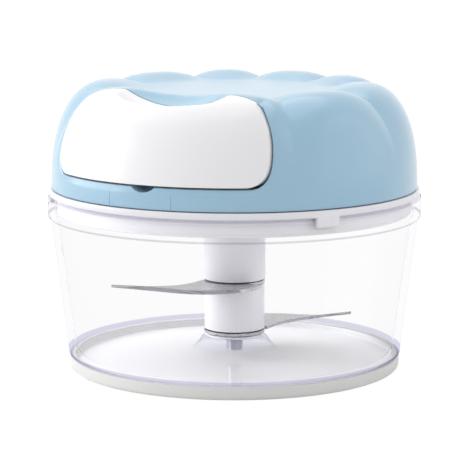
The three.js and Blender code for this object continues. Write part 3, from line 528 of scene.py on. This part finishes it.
blue_plastic = moulded(
    "blue_cover_plastic", (0.305, 0.485, 0.62), 0.21, change=0.006, gloss_change=0.015,
    Sheen_Weight=0.36, Sheen_Roughness=0.35,
)
white_plastic = moulded("white_plastic", (0.755, 0.75, 0.785), 0.3, change=0.006, gloss_change=0.03)
grip_plastic = moulded(
    "white_grip_plastic", (0.795, 0.79, 0.805), 0.26, change=0.002, gloss_change=0.008, height=0.03
)
grey_plastic = moulded("grey_bearing_plastic", (0.33, 0.36, 0.4), 0.45)
soft_silicone = moulded(
    "soft_base_silicone", (0.69, 0.69, 0.675), 0.62, grain=1600, height=0.3, Sheen_Weight=0.15
)
seal_silicone = moulded("seal_silicone", (0.75, 0.75, 0.78), 0.5, grain=1600, height=0.25)
# Painted light: the seat is the base's silicone painted far whiter, and its faint glow stands in
# for light that passes through the soft base and the bowl.
seat_painted_light = moulded(
    "base_seat_painted_light", (0.97, 0.97, 0.975), 0.5, change=0.004,
    Coat_Weight=0.5, Coat_Roughness=0.08, Emission_Color=(1, 1, 1, 1), Emission_Strength=0.09,
)


def metal(name, colour, rough, stretch, grain=240, height=0.2):
    """Steel with fine drawn or ground lines along one way."""
    material, tree, shader = new_material(name)
    shader.inputs["Metallic"].default_value = 1
    lines = noise(tree, grain, 6, stretch)
    streak = between(tree, lines, 0, 1)
    pale = [min(1, value * 1.06) for value in colour]
    deep = [value * 0.9 for value in colour]
    tree.links.new(tinted(tree, streak, deep, pale), shader.inputs["Base Color"])
    tree.links.new(between(tree, lines, rough * 0.75, rough * 1.3), shader.inputs["Roughness"])
    tree.links.new(bumped(tree, lines, height, 0.03), shader.inputs["Normal"])
    return material


blade_steel = metal("blade_steel", (0.52, 0.52, 0.54), 0.28, (0.25, 3, 3), height=0.12)
plain_steel = metal("plain_steel", (0.62, 0.62, 0.63), 0.3, (3, 3, 0.3))
spring_steel = metal("spring_steel", (0.45, 0.47, 0.5), 0.33, (0.5, 0.5, 4))


def clear_plastic_finish():
    """Clear plastic, faintly violet where it is thick, with painted shade in place of refraction.
    Lamps shine straight through its walls.

    A zone is a share from 0 to 1, set by the distance from the axis, the height or the slant of the
    surface to the view. Each zone in turn blends its colour over those before: the boss's violet,
    and painted shade at the wall's edges, the foot, the band's lower step and under the ring.
    """
    material, tree, shader = new_material("clear_plastic")
    place = node(tree, "ShaderNodeTexCoord").outputs["Object"]
    flat = node(tree, "ShaderNodeVectorMath", operation="MULTIPLY")
    flat.inputs[1].default_value = (1, 1, 0)
    reach = node(tree, "ShaderNodeVectorMath", operation="LENGTH")
    parts = node(tree, "ShaderNodeSeparateXYZ")
    tree.links.new(place, flat.inputs[0])
    tree.links.new(flat.outputs[0], reach.inputs[0])
    tree.links.new(place, parts.inputs[0])
    facing = node(tree, "ShaderNodeLayerWeight", Blend=0.5).outputs["Facing"]

    def out(start, full):
        return span(tree, reach.outputs["Value"], start * MM, full * MM)

    def up(start, full):
        return span(tree, parts.outputs["Z"], start * MM, full * MM)

    wall = out(50, 51)
    # Painted shade: the wall greys where it turns away from view, standing in for refraction at its
    # edges.
    outline = product(tree, wall, span(tree, facing, 0.84, 1))
    boss = product(tree, out(15, 13), up(5.1, 5.6))
    # Painted shade: the boss darkens where it turns away from view, standing in for refraction.
    boss_grazing_painted_shade = product(tree, boss, span(tree, facing, 0.55, 1))
    # The dark violet band at the foot's corner is partly the thick plastic's own tint and partly
    # painted shade standing in for refraction there.
    foot = product(tree, out(54.6, 55.2), up(6.4, 5.9))
    # Painted shade: a dark line along the band's lower step, standing in for refraction.
    band_edge_painted_shade = product(tree, product(tree, up(51.3, 51.6), up(52.35, 52.05)), out(61.7, 62.1))
    # Painted shadow: a darker line at the rim's top where the lid's ring overhangs it.
    rim_painted_shadow = product(tree, up(57.9, 58.2), out(60.2, 60.5))
    # The glass colour, with the boss's violet and the painted shade zones blended over it.
    tint_and_painted_shade = (0.968, 0.968, 0.97)
    for zone, colour in (
        (outline, (0.82, 0.83, 0.86)), (boss, (0.86, 0.86, 0.94)), (boss_grazing_painted_shade, (0.6, 0.6, 0.72)),
        (foot, (0.48, 0.48, 0.66)), (band_edge_painted_shade, (0.5, 0.5, 0.56)), (rim_painted_shadow, (0.62, 0.6, 0.7)),
    ):
        tint_and_painted_shade = tinted(tree, zone, tint_and_painted_shade, colour)
    tree.links.new(tint_and_painted_shade, shader.inputs["Base Color"])
    shader.inputs["Transmission Weight"].default_value = 1
    # Kept far below real plastic, so that the thin walls stay as clear as in the photograph
    shader.inputs["IOR"].default_value = 1.003
    tree.links.new(product(tree, wall, 0.05), shader.inputs["Coat Weight"])
    shader.inputs["Coat IOR"].default_value = 1.5
    shader.inputs["Coat Roughness"].default_value = 0.03
    haze = between(tree, noise(tree, 60, 5), 0.0, 0.02)
    tree.links.new(haze, shader.inputs["Roughness"])

    output = tree.nodes["Material Output"]
    shadow = node(tree, "ShaderNodeLightPath").outputs["Is Shadow Ray"]
    passing = node(tree, "ShaderNodeBsdfTransparent", Color=(0.995, 0.995, 1, 1))
    surface = mixed(tree, shadow, shader.outputs[0], passing.outputs[0])
    tree.links.new(surface, output.inputs["Surface"])
    depth = node(tree, "ShaderNodeVolumeAbsorption", Color=(0.5, 0.5, 0.7, 1), Density=2.0)
    tree.links.new(depth.outputs[0], output.inputs["Volume"])
    return material


clear_plastic = clear_plastic_finish()


def cord_finish():
    """Braided cord: two sets of strands cross at a slant along the cord's own map."""
    material, tree, shader = new_material("braided_cord")
    place = node(tree, "ShaderNodeTexCoord")
    weave = []
    for lean in (45, -45):
        lay = node(tree, "ShaderNodeMapping")
        lay.inputs["Rotation"].default_value = (0, 0, math.radians(lean))
        band = node(tree, "ShaderNodeTexWave", Scale=STRAND_SCALE, Distortion=0.0)
        tree.links.new(place.outputs["UV"], lay.inputs["Vector"])
        tree.links.new(lay.outputs["Vector"], band.inputs["Vector"])
        weave.append(band.outputs["Fac"])
    strands = product(tree, *weave)
    colour = tinted(tree, strands, (0.52, 0.5, 0.44), (0.86, 0.84, 0.78))
    tree.links.new(colour, shader.inputs["Base Color"])
    tree.links.new(bumped(tree, strands, 0.6, 0.15), shader.inputs["Normal"])
    shader.inputs["Roughness"].default_value = 0.85
    return material


cord_fibre = cord_finish()


# Camera, floor and light

def aim_at(thing, place, aim):
    """Puts a camera or lamp at one place, looking at another."""
    thing.location = place
    thing.rotation_euler = (Vector(aim) - Vector(place)).to_track_quat("-Z", "Y").to_euler()


def set_view():
    camera_data = bpy.data.cameras.new("camera")
    camera_data.lens = CAMERA_LENS
    camera_data.shift_x, camera_data.shift_y = CAMERA_SHIFT
    camera = bpy.data.objects.new("camera", camera_data)
    bpy.context.scene.collection.objects.link(camera)
    aim_at(camera, CAMERA_PLACE, CAMERA_AIM)
    bpy.context.scene.camera = camera
    bpy.context.scene.view_settings.view_transform = "Standard"


def lamp(name, place, size, power):
    """Round lamp that shines on the object's middle."""
    data = bpy.data.lights.new(name, "AREA")
    data.shape = "DISK"
    data.size = size
    data.energy = power
    light = bpy.data.objects.new(name, data)
    bpy.context.scene.collection.objects.link(light)
    aim_at(light, place, LAMP_AIM)


def seen_rays(tree):
    """1 for rays from the camera, from gloss and through clear walls, otherwise 0."""
    path = node(tree, "ShaderNodeLightPath")
    seen = path.outputs["Is Camera Ray"]
    for name in ("Is Glossy Ray", "Is Transmission Ray"):
        larger = node(tree, "ShaderNodeMath", operation="MAXIMUM")
        tree.links.new(seen, larger.inputs[0])
        tree.links.new(path.outputs[name], larger.inputs[1])
        seen = larger.outputs[0]
    return seen


def set_studio():
    """Surround, lamps and floor."""
    world = bpy.data.worlds.new("studio")
    bpy.context.scene.world = world
    world.use_nodes = True
    tree = world.node_tree
    dim = tree.nodes["Background"]
    dim.inputs["Color"].default_value = (1, 1, 1, 1)
    dim.inputs["Strength"].default_value = SURROUND_LIGHT
    white = node(tree, "ShaderNodeBackground", Color=(1, 1, 1, 1), Strength=1.0)
    surround = mixed(tree, seen_rays(tree), dim.outputs[0], white.outputs[0])
    tree.links.new(surround, tree.nodes["World Output"].inputs["Surface"])
    for name, settings in LAMPS.items():
        lamp(name, *settings)

    rest_selection()
    bpy.ops.mesh.primitive_plane_add(size=FLOOR_SIZE, location=(0, 0, -FLOOR_DROP))
    floor = added("floor")
    material, tree, shader = new_material("pale_floor")
    shader.inputs["Base Color"].default_value = (0.9, 0.9, 0.9, 1)
    shader.inputs["Roughness"].default_value = 0.9
    shader.inputs["Specular IOR Level"].default_value = 0.1
    glow = node(tree, "ShaderNodeEmission", Color=(1, 1, 1, 1), Strength=FLOOR_GLOW)
    share = product(tree, seen_rays(tree), FLOOR_GLOW_SHARE)
    ground = mixed(tree, share, shader.outputs[0], glow.outputs[0])
    tree.links.new(ground, tree.nodes["Material Output"].inputs["Surface"])
    paint(floor, material)


set_view()
set_studio()


# Base and bowl

def make_base():
    """Soft base with a shallow recess below and a seat for the bowl, the seat painted whiter and
    faintly glowing as painted light.
    """
    outline = eased([
        (0, 0, 0), (RECESS_INNER, 0, 0), (RECESS_INNER + RECESS_DEPTH, RECESS_DEPTH, 0),
        (RECESS_OUTER - RECESS_DEPTH, RECESS_DEPTH, 0), (RECESS_OUTER, 0, 0),
        (BASE_RADIUS, 0, 1.3), (BASE_RADIUS, BASE_HEIGHT, 0.4), (SEAT_RADIUS, BASE_HEIGHT, 0.3),
        (SEAT_RADIUS, SEAT_HEIGHT, 0.2), (0, SEAT_HEIGHT, 0),
    ], 6)
    base = smooth(turned("soft_base", outline), 40)
    dress(base, soft_silicone, "bowl", "silicone", "non_slip_base")
    # The seat's faces take the painted-light material: whiter than the base and faintly glowing.
    base.data.materials.append(seat_painted_light)
    for face in base.data.polygons:
        x, y, z = (value / MM for value in face.center)
        if 1 < z < BASE_HEIGHT - 0.2 and math.hypot(x, y) < SEAT_RADIUS + 0.2:
            face.material_index = 1


def make_bowl():
    """Clear bowl with a rim band, three notches for the lid's tabs and a boss for the pin."""
    outline = eased([
        (0, BOWL_BOTTOM, 0), (BOWL_FOOT, BOWL_BOTTOM, 0.6),
        (BOWL_FOOT, BOWL_SHOULDER, 0.3), (BOWL_LOW, BOWL_SHOULDER, 0.9),
        (BOWL_HIGH, UNDER_BAND, 0.6), (RIM_RADIUS, BAND_BOTTOM, 0.5),
        (RIM_RADIUS, RIM_HEIGHT, 0.45),
        (BAND_INNER, RIM_HEIGHT, 0.45), (BAND_INNER, BAND_BOTTOM, 0.4),
        (BOWL_HIGH - BOWL_WALL, UNDER_BAND, 0.6), (FLOOR_RADIUS, BOWL_FLOOR, 3.6),
        (BOSS_FOOT, BOWL_FLOOR, 2.6), (BOSS_WAIST, BOSS_WAIST_HEIGHT, 1.4),
        (BOSS_RADIUS, BOSS_TOP, 0.4), (PIN_HOLE_RADIUS, BOSS_TOP, 0.2),
        (PIN_HOLE_RADIUS, PIN_HOLE_BOTTOM, 0), (0, PIN_HOLE_BOTTOM, 0),
    ], 6)
    bowl = turned("clear_bowl", outline, 192)
    for angle in KEY_ANGLES:
        low = (BAND_INNER - 1.2, -NOTCH_HALF, NOTCH_BOTTOM)
        cut(bowl, box("notch", low, (RIM_RADIUS + 4, NOTCH_HALF, RIM_HEIGHT + 4), angle))
    sharp = math.radians(50)
    apply(bowl, "BEVEL", width=0.25 * MM, segments=2, limit_method="ANGLE", angle_limit=sharp)
    dress(smooth(bowl, 35), clear_plastic, "bowl", "clear_plastic", "bowl")


make_base()
make_bowl()


# Lid base: ring, floor, skirt with the seal's groove, lip and key tabs

def make_lid_base():
    outline = eased([
        (DRIVE_HOLE, DRIVE_LIP_BOTTOM, 0.2), (DRIVE_LIP, DRIVE_LIP_BOTTOM, 0.2),
        (DRIVE_LIP + 0.2, RING_BOTTOM, 0.2), (SKIRT_INNER - 0.4, RING_BOTTOM, 0.8),
        (SKIRT_INNER, SKIRT_BOTTOM, 0.5), (SKIRT_RADIUS, SKIRT_BOTTOM, 0.3),
        (SKIRT_RADIUS, GROOVE_LOW, 0.02), (GROOVE_RADIUS, GROOVE_LOW, 0.2),
        (GROOVE_RADIUS, GROOVE_HIGH, 0.2), (SKIRT_RADIUS, GROOVE_HIGH, 0.02),
        (SKIRT_RADIUS, RING_BOTTOM, 0.3), (RING_RADIUS, RING_BOTTOM, 0.35),
        (RING_RADIUS, RING_TOP, 0.35), (SPIGOT_RADIUS, RING_TOP, 0),
        (SPIGOT_RADIUS, SPIGOT_TOP, 0.4), (SPIGOT_INNER, SPIGOT_TOP, 0.4),
        (SPIGOT_INNER, RING_TOP, 0.3), (DRIVE_HOLE, RING_TOP, 0.2),
    ], closed=True)
    lid = turned("lid_base_ring", outline, 192)
    for angle in KEY_ANGLES:
        low = (RING_RADIUS - 1.9, -TAB_HALF, TAB_BOTTOM)
        tab = box("tab", low, (RING_RADIUS - 0.05, TAB_HALF, 60), angle)
        apply(tab, "BEVEL", width=0.85 * MM, segments=4)
        cut(lid, tab, "UNION")
    for angle in SCREW_ANGLES:
        x, y = at_angle(SCREW_CIRCLE, angle)
        cut(lid, bar("hole", SCREW_HOLE, (x, y, 0), 50, 70, 24))
    dress(smooth(lid, 35), white_plastic, "lid", "white_plastic", "lid_base")

    low, high = GROOVE_LOW + SEAL_PLAY, GROOVE_HIGH - SEAL_PLAY
    seal = eased([
        (SEAL_INNER, low, 0.1), (SKIRT_RADIUS, low, 0.02), (SEAL_RADIUS, 54.6, 0.5),
        (SEAL_RADIUS, 56.1, 0.5), (SKIRT_RADIUS, high, 0.02), (SEAL_INNER, high, 0.1),
    ], closed=True)
    seal = smooth(turned("lid_seal_ring", seal), 60)
    dress(seal, seal_silicone, "lid", "seal_silicone", "lid_seal")


make_lid_base()


# Cover: a round shoulder with soft lobes and a shallow dish on top

def cover_outline(steps=44, dish_steps=16):
    """Half of the cover's section without lobes, shoulder then dish, as (radius, height)."""
    points = [(0, COVER_BOTTOM)]
    for i in range(steps + 1):
        angle = math.pi / 2 * i / steps
        out = math.cos(angle) ** (2 / SHOULDER_POWER) if i < steps else 0
        up = math.sin(angle) ** (2 / SHOULDER_POWER)
        radius = CREST_RADIUS + (COVER_RADIUS - CREST_RADIUS) * out
        points.append((radius, COVER_BOTTOM + (COVER_TOP - COVER_BOTTOM) * up))
    for i in range(1, dish_steps + 1):
        share = i / dish_steps
        radius = CREST_RADIUS + (DISH_RADIUS - CREST_RADIUS) * share
        points.append((radius, COVER_TOP - DISH_DEPTH * (1 - math.cos(math.pi * share)) / 2))
    points += [(14, COVER_TOP - DISH_DEPTH), (0, COVER_TOP - DISH_DEPTH)]
    return points


def step_up(value, low, high):
    """0 below low, 1 above high, and smooth between."""
    share = min(1, max(0, (value - low) / (high - low)))
    return share * share * (3 - 2 * share)


def valley_share(from_back):
    """1 in a valley between two lobes, falling smoothly to 0 on the crests."""
    if from_back > VALLEYS[-1]:
        return max(0, 1 - (from_back - VALLEYS[-1]) / VALLEY_REACH) ** 2
    edges = [-VALLEYS[0], *VALLEYS]
    low, high = next((a, b) for a, b in zip(edges, edges[1:]) if a <= from_back <= b)
    half = (high - low) / 2
    return (abs(from_back - (low + high) / 2) / half) ** VALLEY_POWER


def dome(name, inset=0.0, steps=240):
    """Closed form of the cover. Lobes sink between crests, and inset draws the skin in."""
    form = turned(name, cover_outline(), steps)
    sinking = form.vertex_groups.new(name="sinking")
    for vertex in form.data.vertices:
        x, y, z = (value / MM for value in vertex.co)
        radius = math.hypot(x, y)
        rise = (z - COVER_BOTTOM) / (COVER_TOP - COVER_BOTTOM)
        outside = step_up(radius, DISH_RADIUS, CREST_RADIUS)
        from_back = abs(math.degrees(math.atan2(x, y)))
        share = outside * step_up(rise, LOBE_START, LOBE_FULL) * valley_share(from_back)
        sinking.add([vertex.index], share, "REPLACE")
    apply(form, "DISPLACE", strength=-LOBE_DEPTH * MM, mid_level=0, vertex_group="sinking")
    if inset:
        apply(form, "DISPLACE", strength=-inset * MM, mid_level=0)
    return form


def bezier(a, b, c, d, steps):
    """Places on a curve from a to d, pulled towards b and c, without its start."""
    points = []
    for i in range(1, steps + 1):
        t = i / steps
        s = 1 - t
        points.append(tuple(
            s ** 3 * p + 3 * s * s * t * q + 3 * s * t * t * r + t ** 3 * u
            for p, q, r, u in zip(a, b, c, d)
        ))
    return points


def handle_outline(margin):
    """Right half of the handle's outline from the front, then its mirror image.

    The fractions place the corners and the pull of two curves in the outline's width and height.
    """
    half = HANDLE_HALF + margin
    low = HANDLE_BOTTOM - margin
    top = HANDLE_TOP + margin * math.sqrt(0.5)
    shoulder = SHOULDER_HALF + margin * math.sqrt(0.5)
    tall = top - low
    open_top = COVER_TOP + 4
    right = [(half * 0.86, low)]
    corner = ((half * 0.945, low), (half, low + tall * 0.11), (half, low + tall * 0.28))
    right += bezier(right[0], *corner, 14)
    side = ((half, low + tall * 0.58), (half * 0.92, low + tall * 0.82), (shoulder, top))
    right += bezier(right[-1], *side, 14)
    right.append((shoulder - (open_top - top) * 0.35, open_top))
    outline = right + [(-x, z) for x, z in reversed(right)]
    return [(x + HANDLE_ASIDE, z) for x, z in outline]


def scoop(margin):
    """Shallow finger scoop: the lower part of a large ball, narrowed from front to back."""
    ball_radius = (SCOOP["half"] ** 2 + SCOOP["deep"] ** 2) / (2 * SCOOP["deep"])
    rest_selection()
    radius = (ball_radius + margin) * MM
    bpy.ops.mesh.primitive_uv_sphere_add(segments=160, ring_count=120, radius=radius)
    ball = added("scoop")
    bpy.ops.object.mode_set(mode="EDIT")
    bpy.ops.mesh.select_all(action="SELECT")
    narrowing = (SCOOP["long"] + margin) / (SCOOP["half"] + margin)
    bpy.ops.transform.resize(value=(1, narrowing, 1), center_override=(0, 0, 0))
    bpy.ops.object.mode_set(mode="OBJECT")
    centre = (SCOOP["x"], SCOOP["y"], COVER_TOP - SCOOP["deep"] + ball_radius)
    ball.location = [value * MM for value in centre]
    return seat_at_origin(ball)


def round_over(piece, chosen, reach, passes):
    """Rounds the sharp edges at chosen places, most at the edge itself and none past reach."""
    hold(piece)
    bpy.ops.object.mode_set(mode="EDIT")
    bpy.ops.mesh.select_mode(type="EDGE")
    bpy.ops.mesh.select_all(action="DESELECT")
    bpy.ops.mesh.edges_select_sharp(sharpness=math.radians(28))
    bpy.ops.mesh.select_mode(type="VERT")
    bpy.ops.object.mode_set(mode="OBJECT")
    edge = [
        vertex.co.copy() for vertex in piece.data.vertices
        if vertex.select and chosen(*(value / MM for value in vertex.co))
    ]
    tree = KDTree(len(edge))
    for i, place in enumerate(edge):
        tree.insert(place, i)
    tree.balance()
    rounding = piece.vertex_groups.new(name="rounding")
    for vertex in piece.data.vertices:
        gap = tree.find(vertex.co)[2] / MM
        if gap < reach:
            rounding.add([vertex.index], (1 - gap / reach) ** 0.5, "REPLACE")
    apply(piece, "SMOOTH", factor=0.5, iterations=passes, vertex_group="rounding")
    piece.vertex_groups.clear()


def lobed_form():
    """Closed form of cover and handle together, with the finger scoop sunk in and its rim eased."""
    form = dome("lobed_form")
    cut(form, scoop(0))
    apply(form, "REMESH", mode="SHARP", octree_depth=8, scale=0.75, use_remove_disconnected=False)
    round_over(form, lambda x, y, z: z > 86 and y < -30, reach=RIM_ROUND, passes=26)
    return apply(form, "SMOOTH", factor=0.5, iterations=2)


def outline_gap(x, z, outline):
    """Distance from a place to an outline in the upright plane."""
    best = math.inf
    for (xa, za), (xb, zb) in zip(outline, outline[1:] + outline[:1]):
        run, climb = xb - xa, zb - za
        share = ((x - xa) * run + (z - za) * climb) / (run * run + climb * climb)
        share = min(1, max(0, share))
        best = min(best, math.hypot(x - xa - run * share, z - za - climb * share))
    return best


def roll_edge(cover):
    """Rolls the cover's skin softly inwards beside the handle's pocket."""
    outline = handle_outline(HANDLE_GAP)
    rolling = cover.vertex_groups.new(name="rolling")
    for vertex in cover.data.vertices:
        x, y, z = (value / MM for value in vertex.co)
        beside = abs(x) < HANDLE_HALF + 4.1 and y < POCKET_BACK + 3.2 and z > HANDLE_BOTTOM - 3
        gap = outline_gap(x, z, outline) if beside else math.inf
        if gap < ROLL_WIDTH:
            rolling.add([vertex.index], (1 - gap / ROLL_WIDTH) ** 2, "REPLACE")
    apply(cover, "DISPLACE", strength=-ROLL_DEPTH * MM, mid_level=0, vertex_group="rolling")
    cover.vertex_groups.clear()


def make_cover(form):
    """Hollow cover with the handle's pocket, a crescent notch under it and two mould lines."""
    cover = copy_of(form, "lid_cover_shell")
    roll_edge(cover)
    cut(cover, prism("pocket", handle_outline(HANDLE_GAP), POCKET_BACK, FRONT))
    middle = (SCOOP["x"], 0, CRESCENT_HEIGHT)
    notch = bar("notch", CRESCENT_RADIUS, middle, FRONT, -COVER_RADIUS + 8, 96, "Y")
    cut(notch, box("notch_top", (-10, FRONT - 4, CRESCENT_TOP), (12, 0, 90)))
    cut(cover, notch)

    for x in (-MOULD_LINE_ASIDE, MOULD_LINE_ASIDE):
        low = (x - MOULD_LINE_HALF, -64, 60)
        cut(cover, box("mould_line", low, (x + MOULD_LINE_HALF, MOULD_LINE_FACE, 68.2)))

    cavity = dome("cavity", COVER_WALL, 120)
    for vertex in cavity.data.vertices:
        if vertex.co.z < (COVER_BOTTOM + COVER_WALL + 0.5) * MM:
            vertex.co.z = (COVER_BOTTOM - 4) * MM
    wall = handle_outline(HANDLE_GAP + COVER_WALL)
    cut(cavity, prism("pocket_wall", wall, POCKET_BACK + COVER_WALL, FRONT))
    cut(cavity, scoop(COVER_WALL))
    screws = [(*at_angle(SCREW_CIRCLE, angle), 0) for angle in SCREW_ANGLES]
    centre, guide = (0, 0, 0), (0, 0, CORD_HEIGHT)
    for place in screws:
        cut(cavity, bar("boss", SCREW_BOSS, place, 60, 100, 24))
    cut(cavity, bar("arbor_boss", ARBOR_BOSS, centre, ARBOR_BOSS_LOW, 100, 48))
    cut(cavity, bar("guide_boss", GUIDE_RADIUS, guide, POCKET_BACK, POCKET_BACK + 4.9, 32, "Y"))
    cut(cover, cavity)
    for place in screws:
        cut(cover, bar("screw_hole", SCREW_HOLE, place, 57, 70.5, 20))
    cut(cover, bar("arbor_hole", ARBOR_HOLE, centre, 86, ARBOR_HOLE_TOP, 32))
    outside = POCKET_BACK - 0.3
    cut(cover, bar("guide_hole", GUIDE_HOLE, guide, outside, POCKET_BACK + 9, 32, "Y"))
    cut(cover, bar("guide_seat", GUIDE_RADIUS, guide, outside, POCKET_BACK + 1.5, 32, "Y"))
    dress(smooth(cover, 40), blue_plastic, "lid", "blue_plastic", "lid_cover")


def make_handle(form):
    """Hollow grip with two screw bosses, open at the back."""
    grip = copy_of(form, "pull_grip")
    cut(grip, prism("grip_bar", handle_outline(0), HANDLE_BACK, FRONT), "INTERSECT")
    hollow = dome("hollow", HANDLE_WALL, 120)
    inside = handle_outline(-HANDLE_WALL)
    cut(hollow, prism("hollow_bar", inside, HANDLE_BACK + 4, FRONT), "INTERSECT")
    cut(hollow, scoop(HANDLE_WALL))
    screws = [(x, 0, GRIP_SCREW_HEIGHT) for x in (-GRIP_SCREW_SPREAD, GRIP_SCREW_SPREAD)]
    for place in screws:
        cut(hollow, bar("boss", GRIP_SCREW_BOSS, place, -60, HANDLE_BACK - 2.9, 24, "Y"))
    cut(grip, hollow)
    for place in screws:
        cut(grip, bar("pilot", GRIP_SCREW_HOLE, place, HANDLE_BACK - 8.3, HANDLE_BACK + 1, 20, "Y"))
    dress(smooth(grip, 40), grip_plastic, "handle", "white_plastic", "pull_handle")


whole_form = lobed_form()
make_cover(whole_form)
make_handle(whole_form)
bpy.data.objects.remove(whole_form, do_unlink=True)


# Post: sleeves and foot threaded on the six-sided core, with the blades between them

def sleeve(name, node_name, radius, low, high):
    """Round sleeve with a six-sided hole."""
    outline = eased([(0, low, 0), (radius, low, 0.35), (radius, high, 0.45), (0, high, 0)])
    part = turned(name, outline, 128)
    cut(part, bar("hex_hole", HEX_RADIUS, (0, 0, 0), low - 2, high + 2, 6))
    dress(smooth(part, 40), white_plastic, "blades", "white_plastic", node_name)


for row in SLEEVES:
    sleeve(*row)


def through(points, count):
    """Smooth curve through points, as count + 1 places."""
    places = []
    for i in range(count + 1):
        at = (len(points) - 1) * i / count
        k = min(int(at), len(points) - 2)
        t = at - k
        a, b = points[max(0, k - 1)], points[k]
        c, d = points[k + 1], points[min(len(points) - 1, k + 2)]
        places.append(tuple(
            q + t * (r - p + t * (2 * p - 5 * q + 4 * r - u + t * (3 * (q - r) - p + u))) / 2
            for p, q, r, u in zip(a, b, c, d)
        ))
    return places


def make_blade(name, node_name, height, turn):
    """Thin sickle blade, ground along its curved edge and bent up towards its tip."""
    tip = (TIP_RADIUS, 0)
    edge = [at_angle(share * TIP_RADIUS, angle) for angle, share in EDGE_SHARES]
    edge = through([tip] + edge, 48)
    back = [at_angle(share * TIP_RADIUS, angle) for angle, share in BACK_SHARES]
    back = through(back + [tip], 28)
    blade = plate(name, edge + back[1:-1], 0, BLADE_THICKNESS)

    # The upper side's cutting edge is drawn inwards, which leaves a ground slope.
    ground = edge[1:40]
    for vertex in blade.data.vertices:
        x, y, z = (value / MM for value in vertex.co)
        if z < BLADE_THICKNESS / 2:
            continue
        near = min(range(len(ground)), key=lambda i: math.dist(ground[i], (x, y)))
        if math.dist(ground[near], (x, y)) > 0.05:
            continue
        ahead = Vector(edge[near + 2]) - Vector(edge[near])
        inward = Vector((-ahead.y, ahead.x)).normalized()
        width = GRIND_WIDTH * min(1, near / 8, (len(ground) - near) / 6)
        vertex.co.x += inward.x * width * MM
        vertex.co.y += inward.y * width * MM
    hub = bar("hub", HUB_RADIUS, (0, 0, 0), HUB_INSET, BLADE_THICKNESS - HUB_INSET, 96)
    cut(blade, hub, "UNION")
    cut(blade, bar("hex_hole", HEX_RADIUS, (0, 0, 0), -2, 3, 6))

    # Crossing lines of points let the blade bend.
    hold(blade)
    bpy.ops.object.mode_set(mode="EDIT")
    for x in range(12, 45, 3):
        bpy.ops.mesh.select_all(action="SELECT")
        bpy.ops.mesh.bisect(plane_co=(x * MM, 0, 0), plane_no=(1, 0, 0))
    for y in range(12, 30, 3):
        bpy.ops.mesh.select_all(action="SELECT")
        bpy.ops.mesh.bisect(plane_co=(0, y * MM, 0), plane_no=(0, 1, 0))
    bpy.ops.object.mode_set(mode="OBJECT")
    for vertex in blade.data.vertices:
        past_bend = max(0, math.hypot(vertex.co.x, vertex.co.y) / MM - BEND_START)
        share = past_bend / (TIP_RADIUS - BEND_START)
        vertex.co.z += (height + TIP_RISE * share * share) * MM
    blade.rotation_euler = (0, 0, math.radians(turn))
    dress(smooth(blade, 20), blade_steel, "blades", "blade_steel", node_name)


for row in BLADES:
    make_blade(*row)


# Cord: turns on the drum, the stretch through the guide, and the lead to the handle

def cord_tube(name, points):
    """Round cord through points, with a map of its own that runs evenly along and around it."""
    line = bpy.data.curves.new(name, "CURVE")
    line.dimensions = "3D"
    line.bevel_depth = CORD_RADIUS * MM
    line.bevel_resolution = 4
    line.use_fill_caps = True
    spline = line.splines.new("POLY")
    spline.points.add(len(points) - 1)
    for spot, (x, y, z) in zip(spline.points, points):
        spot.co = (x * MM, y * MM, z * MM, 1)
    tube = bpy.data.objects.new(name, line)
    bpy.context.scene.collection.objects.link(tube)
    hold(tube)
    bpy.ops.object.convert(target="MESH")
    tube = bpy.context.active_object
    length = sum(math.dist(a, b) for a, b in zip(points, points[1:]))
    around = 2 * math.pi * CORD_RADIUS
    for corner in tube.data.uv_layers[0].data:
        corner.uv = (corner.uv[0] * around, corner.uv[1] * length)
    return smooth(tube, 60)


def make_cord():
    turns = []
    start = LEAVE_ANGLE - 360 * WINDING_TURNS - 1
    count = 160
    for i in range(count + 1):
        share = i / count
        x, y = at_angle(WINDING_RADIUS, start + 360 * WINDING_TURNS * share)
        turns.append((x, y, WINDING_TOP - WINDING_PITCH * WINDING_TURNS * (1 - share)))
    winding = cord_tube("wound_cord", turns)
    dress(winding, cord_fibre, "reel", "cord", "cord_winding")

    leave = (*at_angle(WINDING_RADIUS, LEAVE_ANGLE), WINDING_TOP)
    bend = (0, GUIDE_BACK, CORD_HEIGHT)
    way = [tuple(a + (b - a) * share for a, b in zip(leave, bend)) for share in (0.02, 0.5, 0.93)]
    way += [(0, -36.6, CORD_HEIGHT), (0, GUIDE_FRONT, CORD_HEIGHT)]
    run = cord_tube("guided_cord", through(way, 40))
    dress(run, cord_fibre, "lid", "cord", "cord_run")

    stops = (LEAD_START, -40.5, -41.35, LEAD_END)
    lead = cord_tube("pulled_cord", [(0, y, CORD_HEIGHT) for y in stops])
    seat_at_origin(lead)
    paint(lead, cord_fibre)
    start = (0, LEAD_START * MM, CORD_HEIGHT * MM)
    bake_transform(lead)
    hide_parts("cord_lead")


make_cord()


# Solids that stay as they are, with their finish

CARRIED = {
    white_plastic: ["blade_core", "cord_reel", "drive_coupling"],
    grip_plastic: ["handle_back"],
    grey_plastic: ["pin_cap", "cord_guide", "spring_cover", "pawl_left", "pawl_right"],
    spring_steel: ["mainspring", "pawl_spring_left", "pawl_spring_right"],
    plain_steel: [
        "pivot_pin", "cord_stop", "spring_arbor", "arbor_washer", "arbor_screw", "lid_screw_1",
        "lid_screw_2", "lid_screw_3", "lid_screw_4", "handle_screw_1", "handle_screw_2",
    ],
}

for material, node_names in CARRIED.items():
    for node_name in node_names:
        paint(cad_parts[node_name], material)
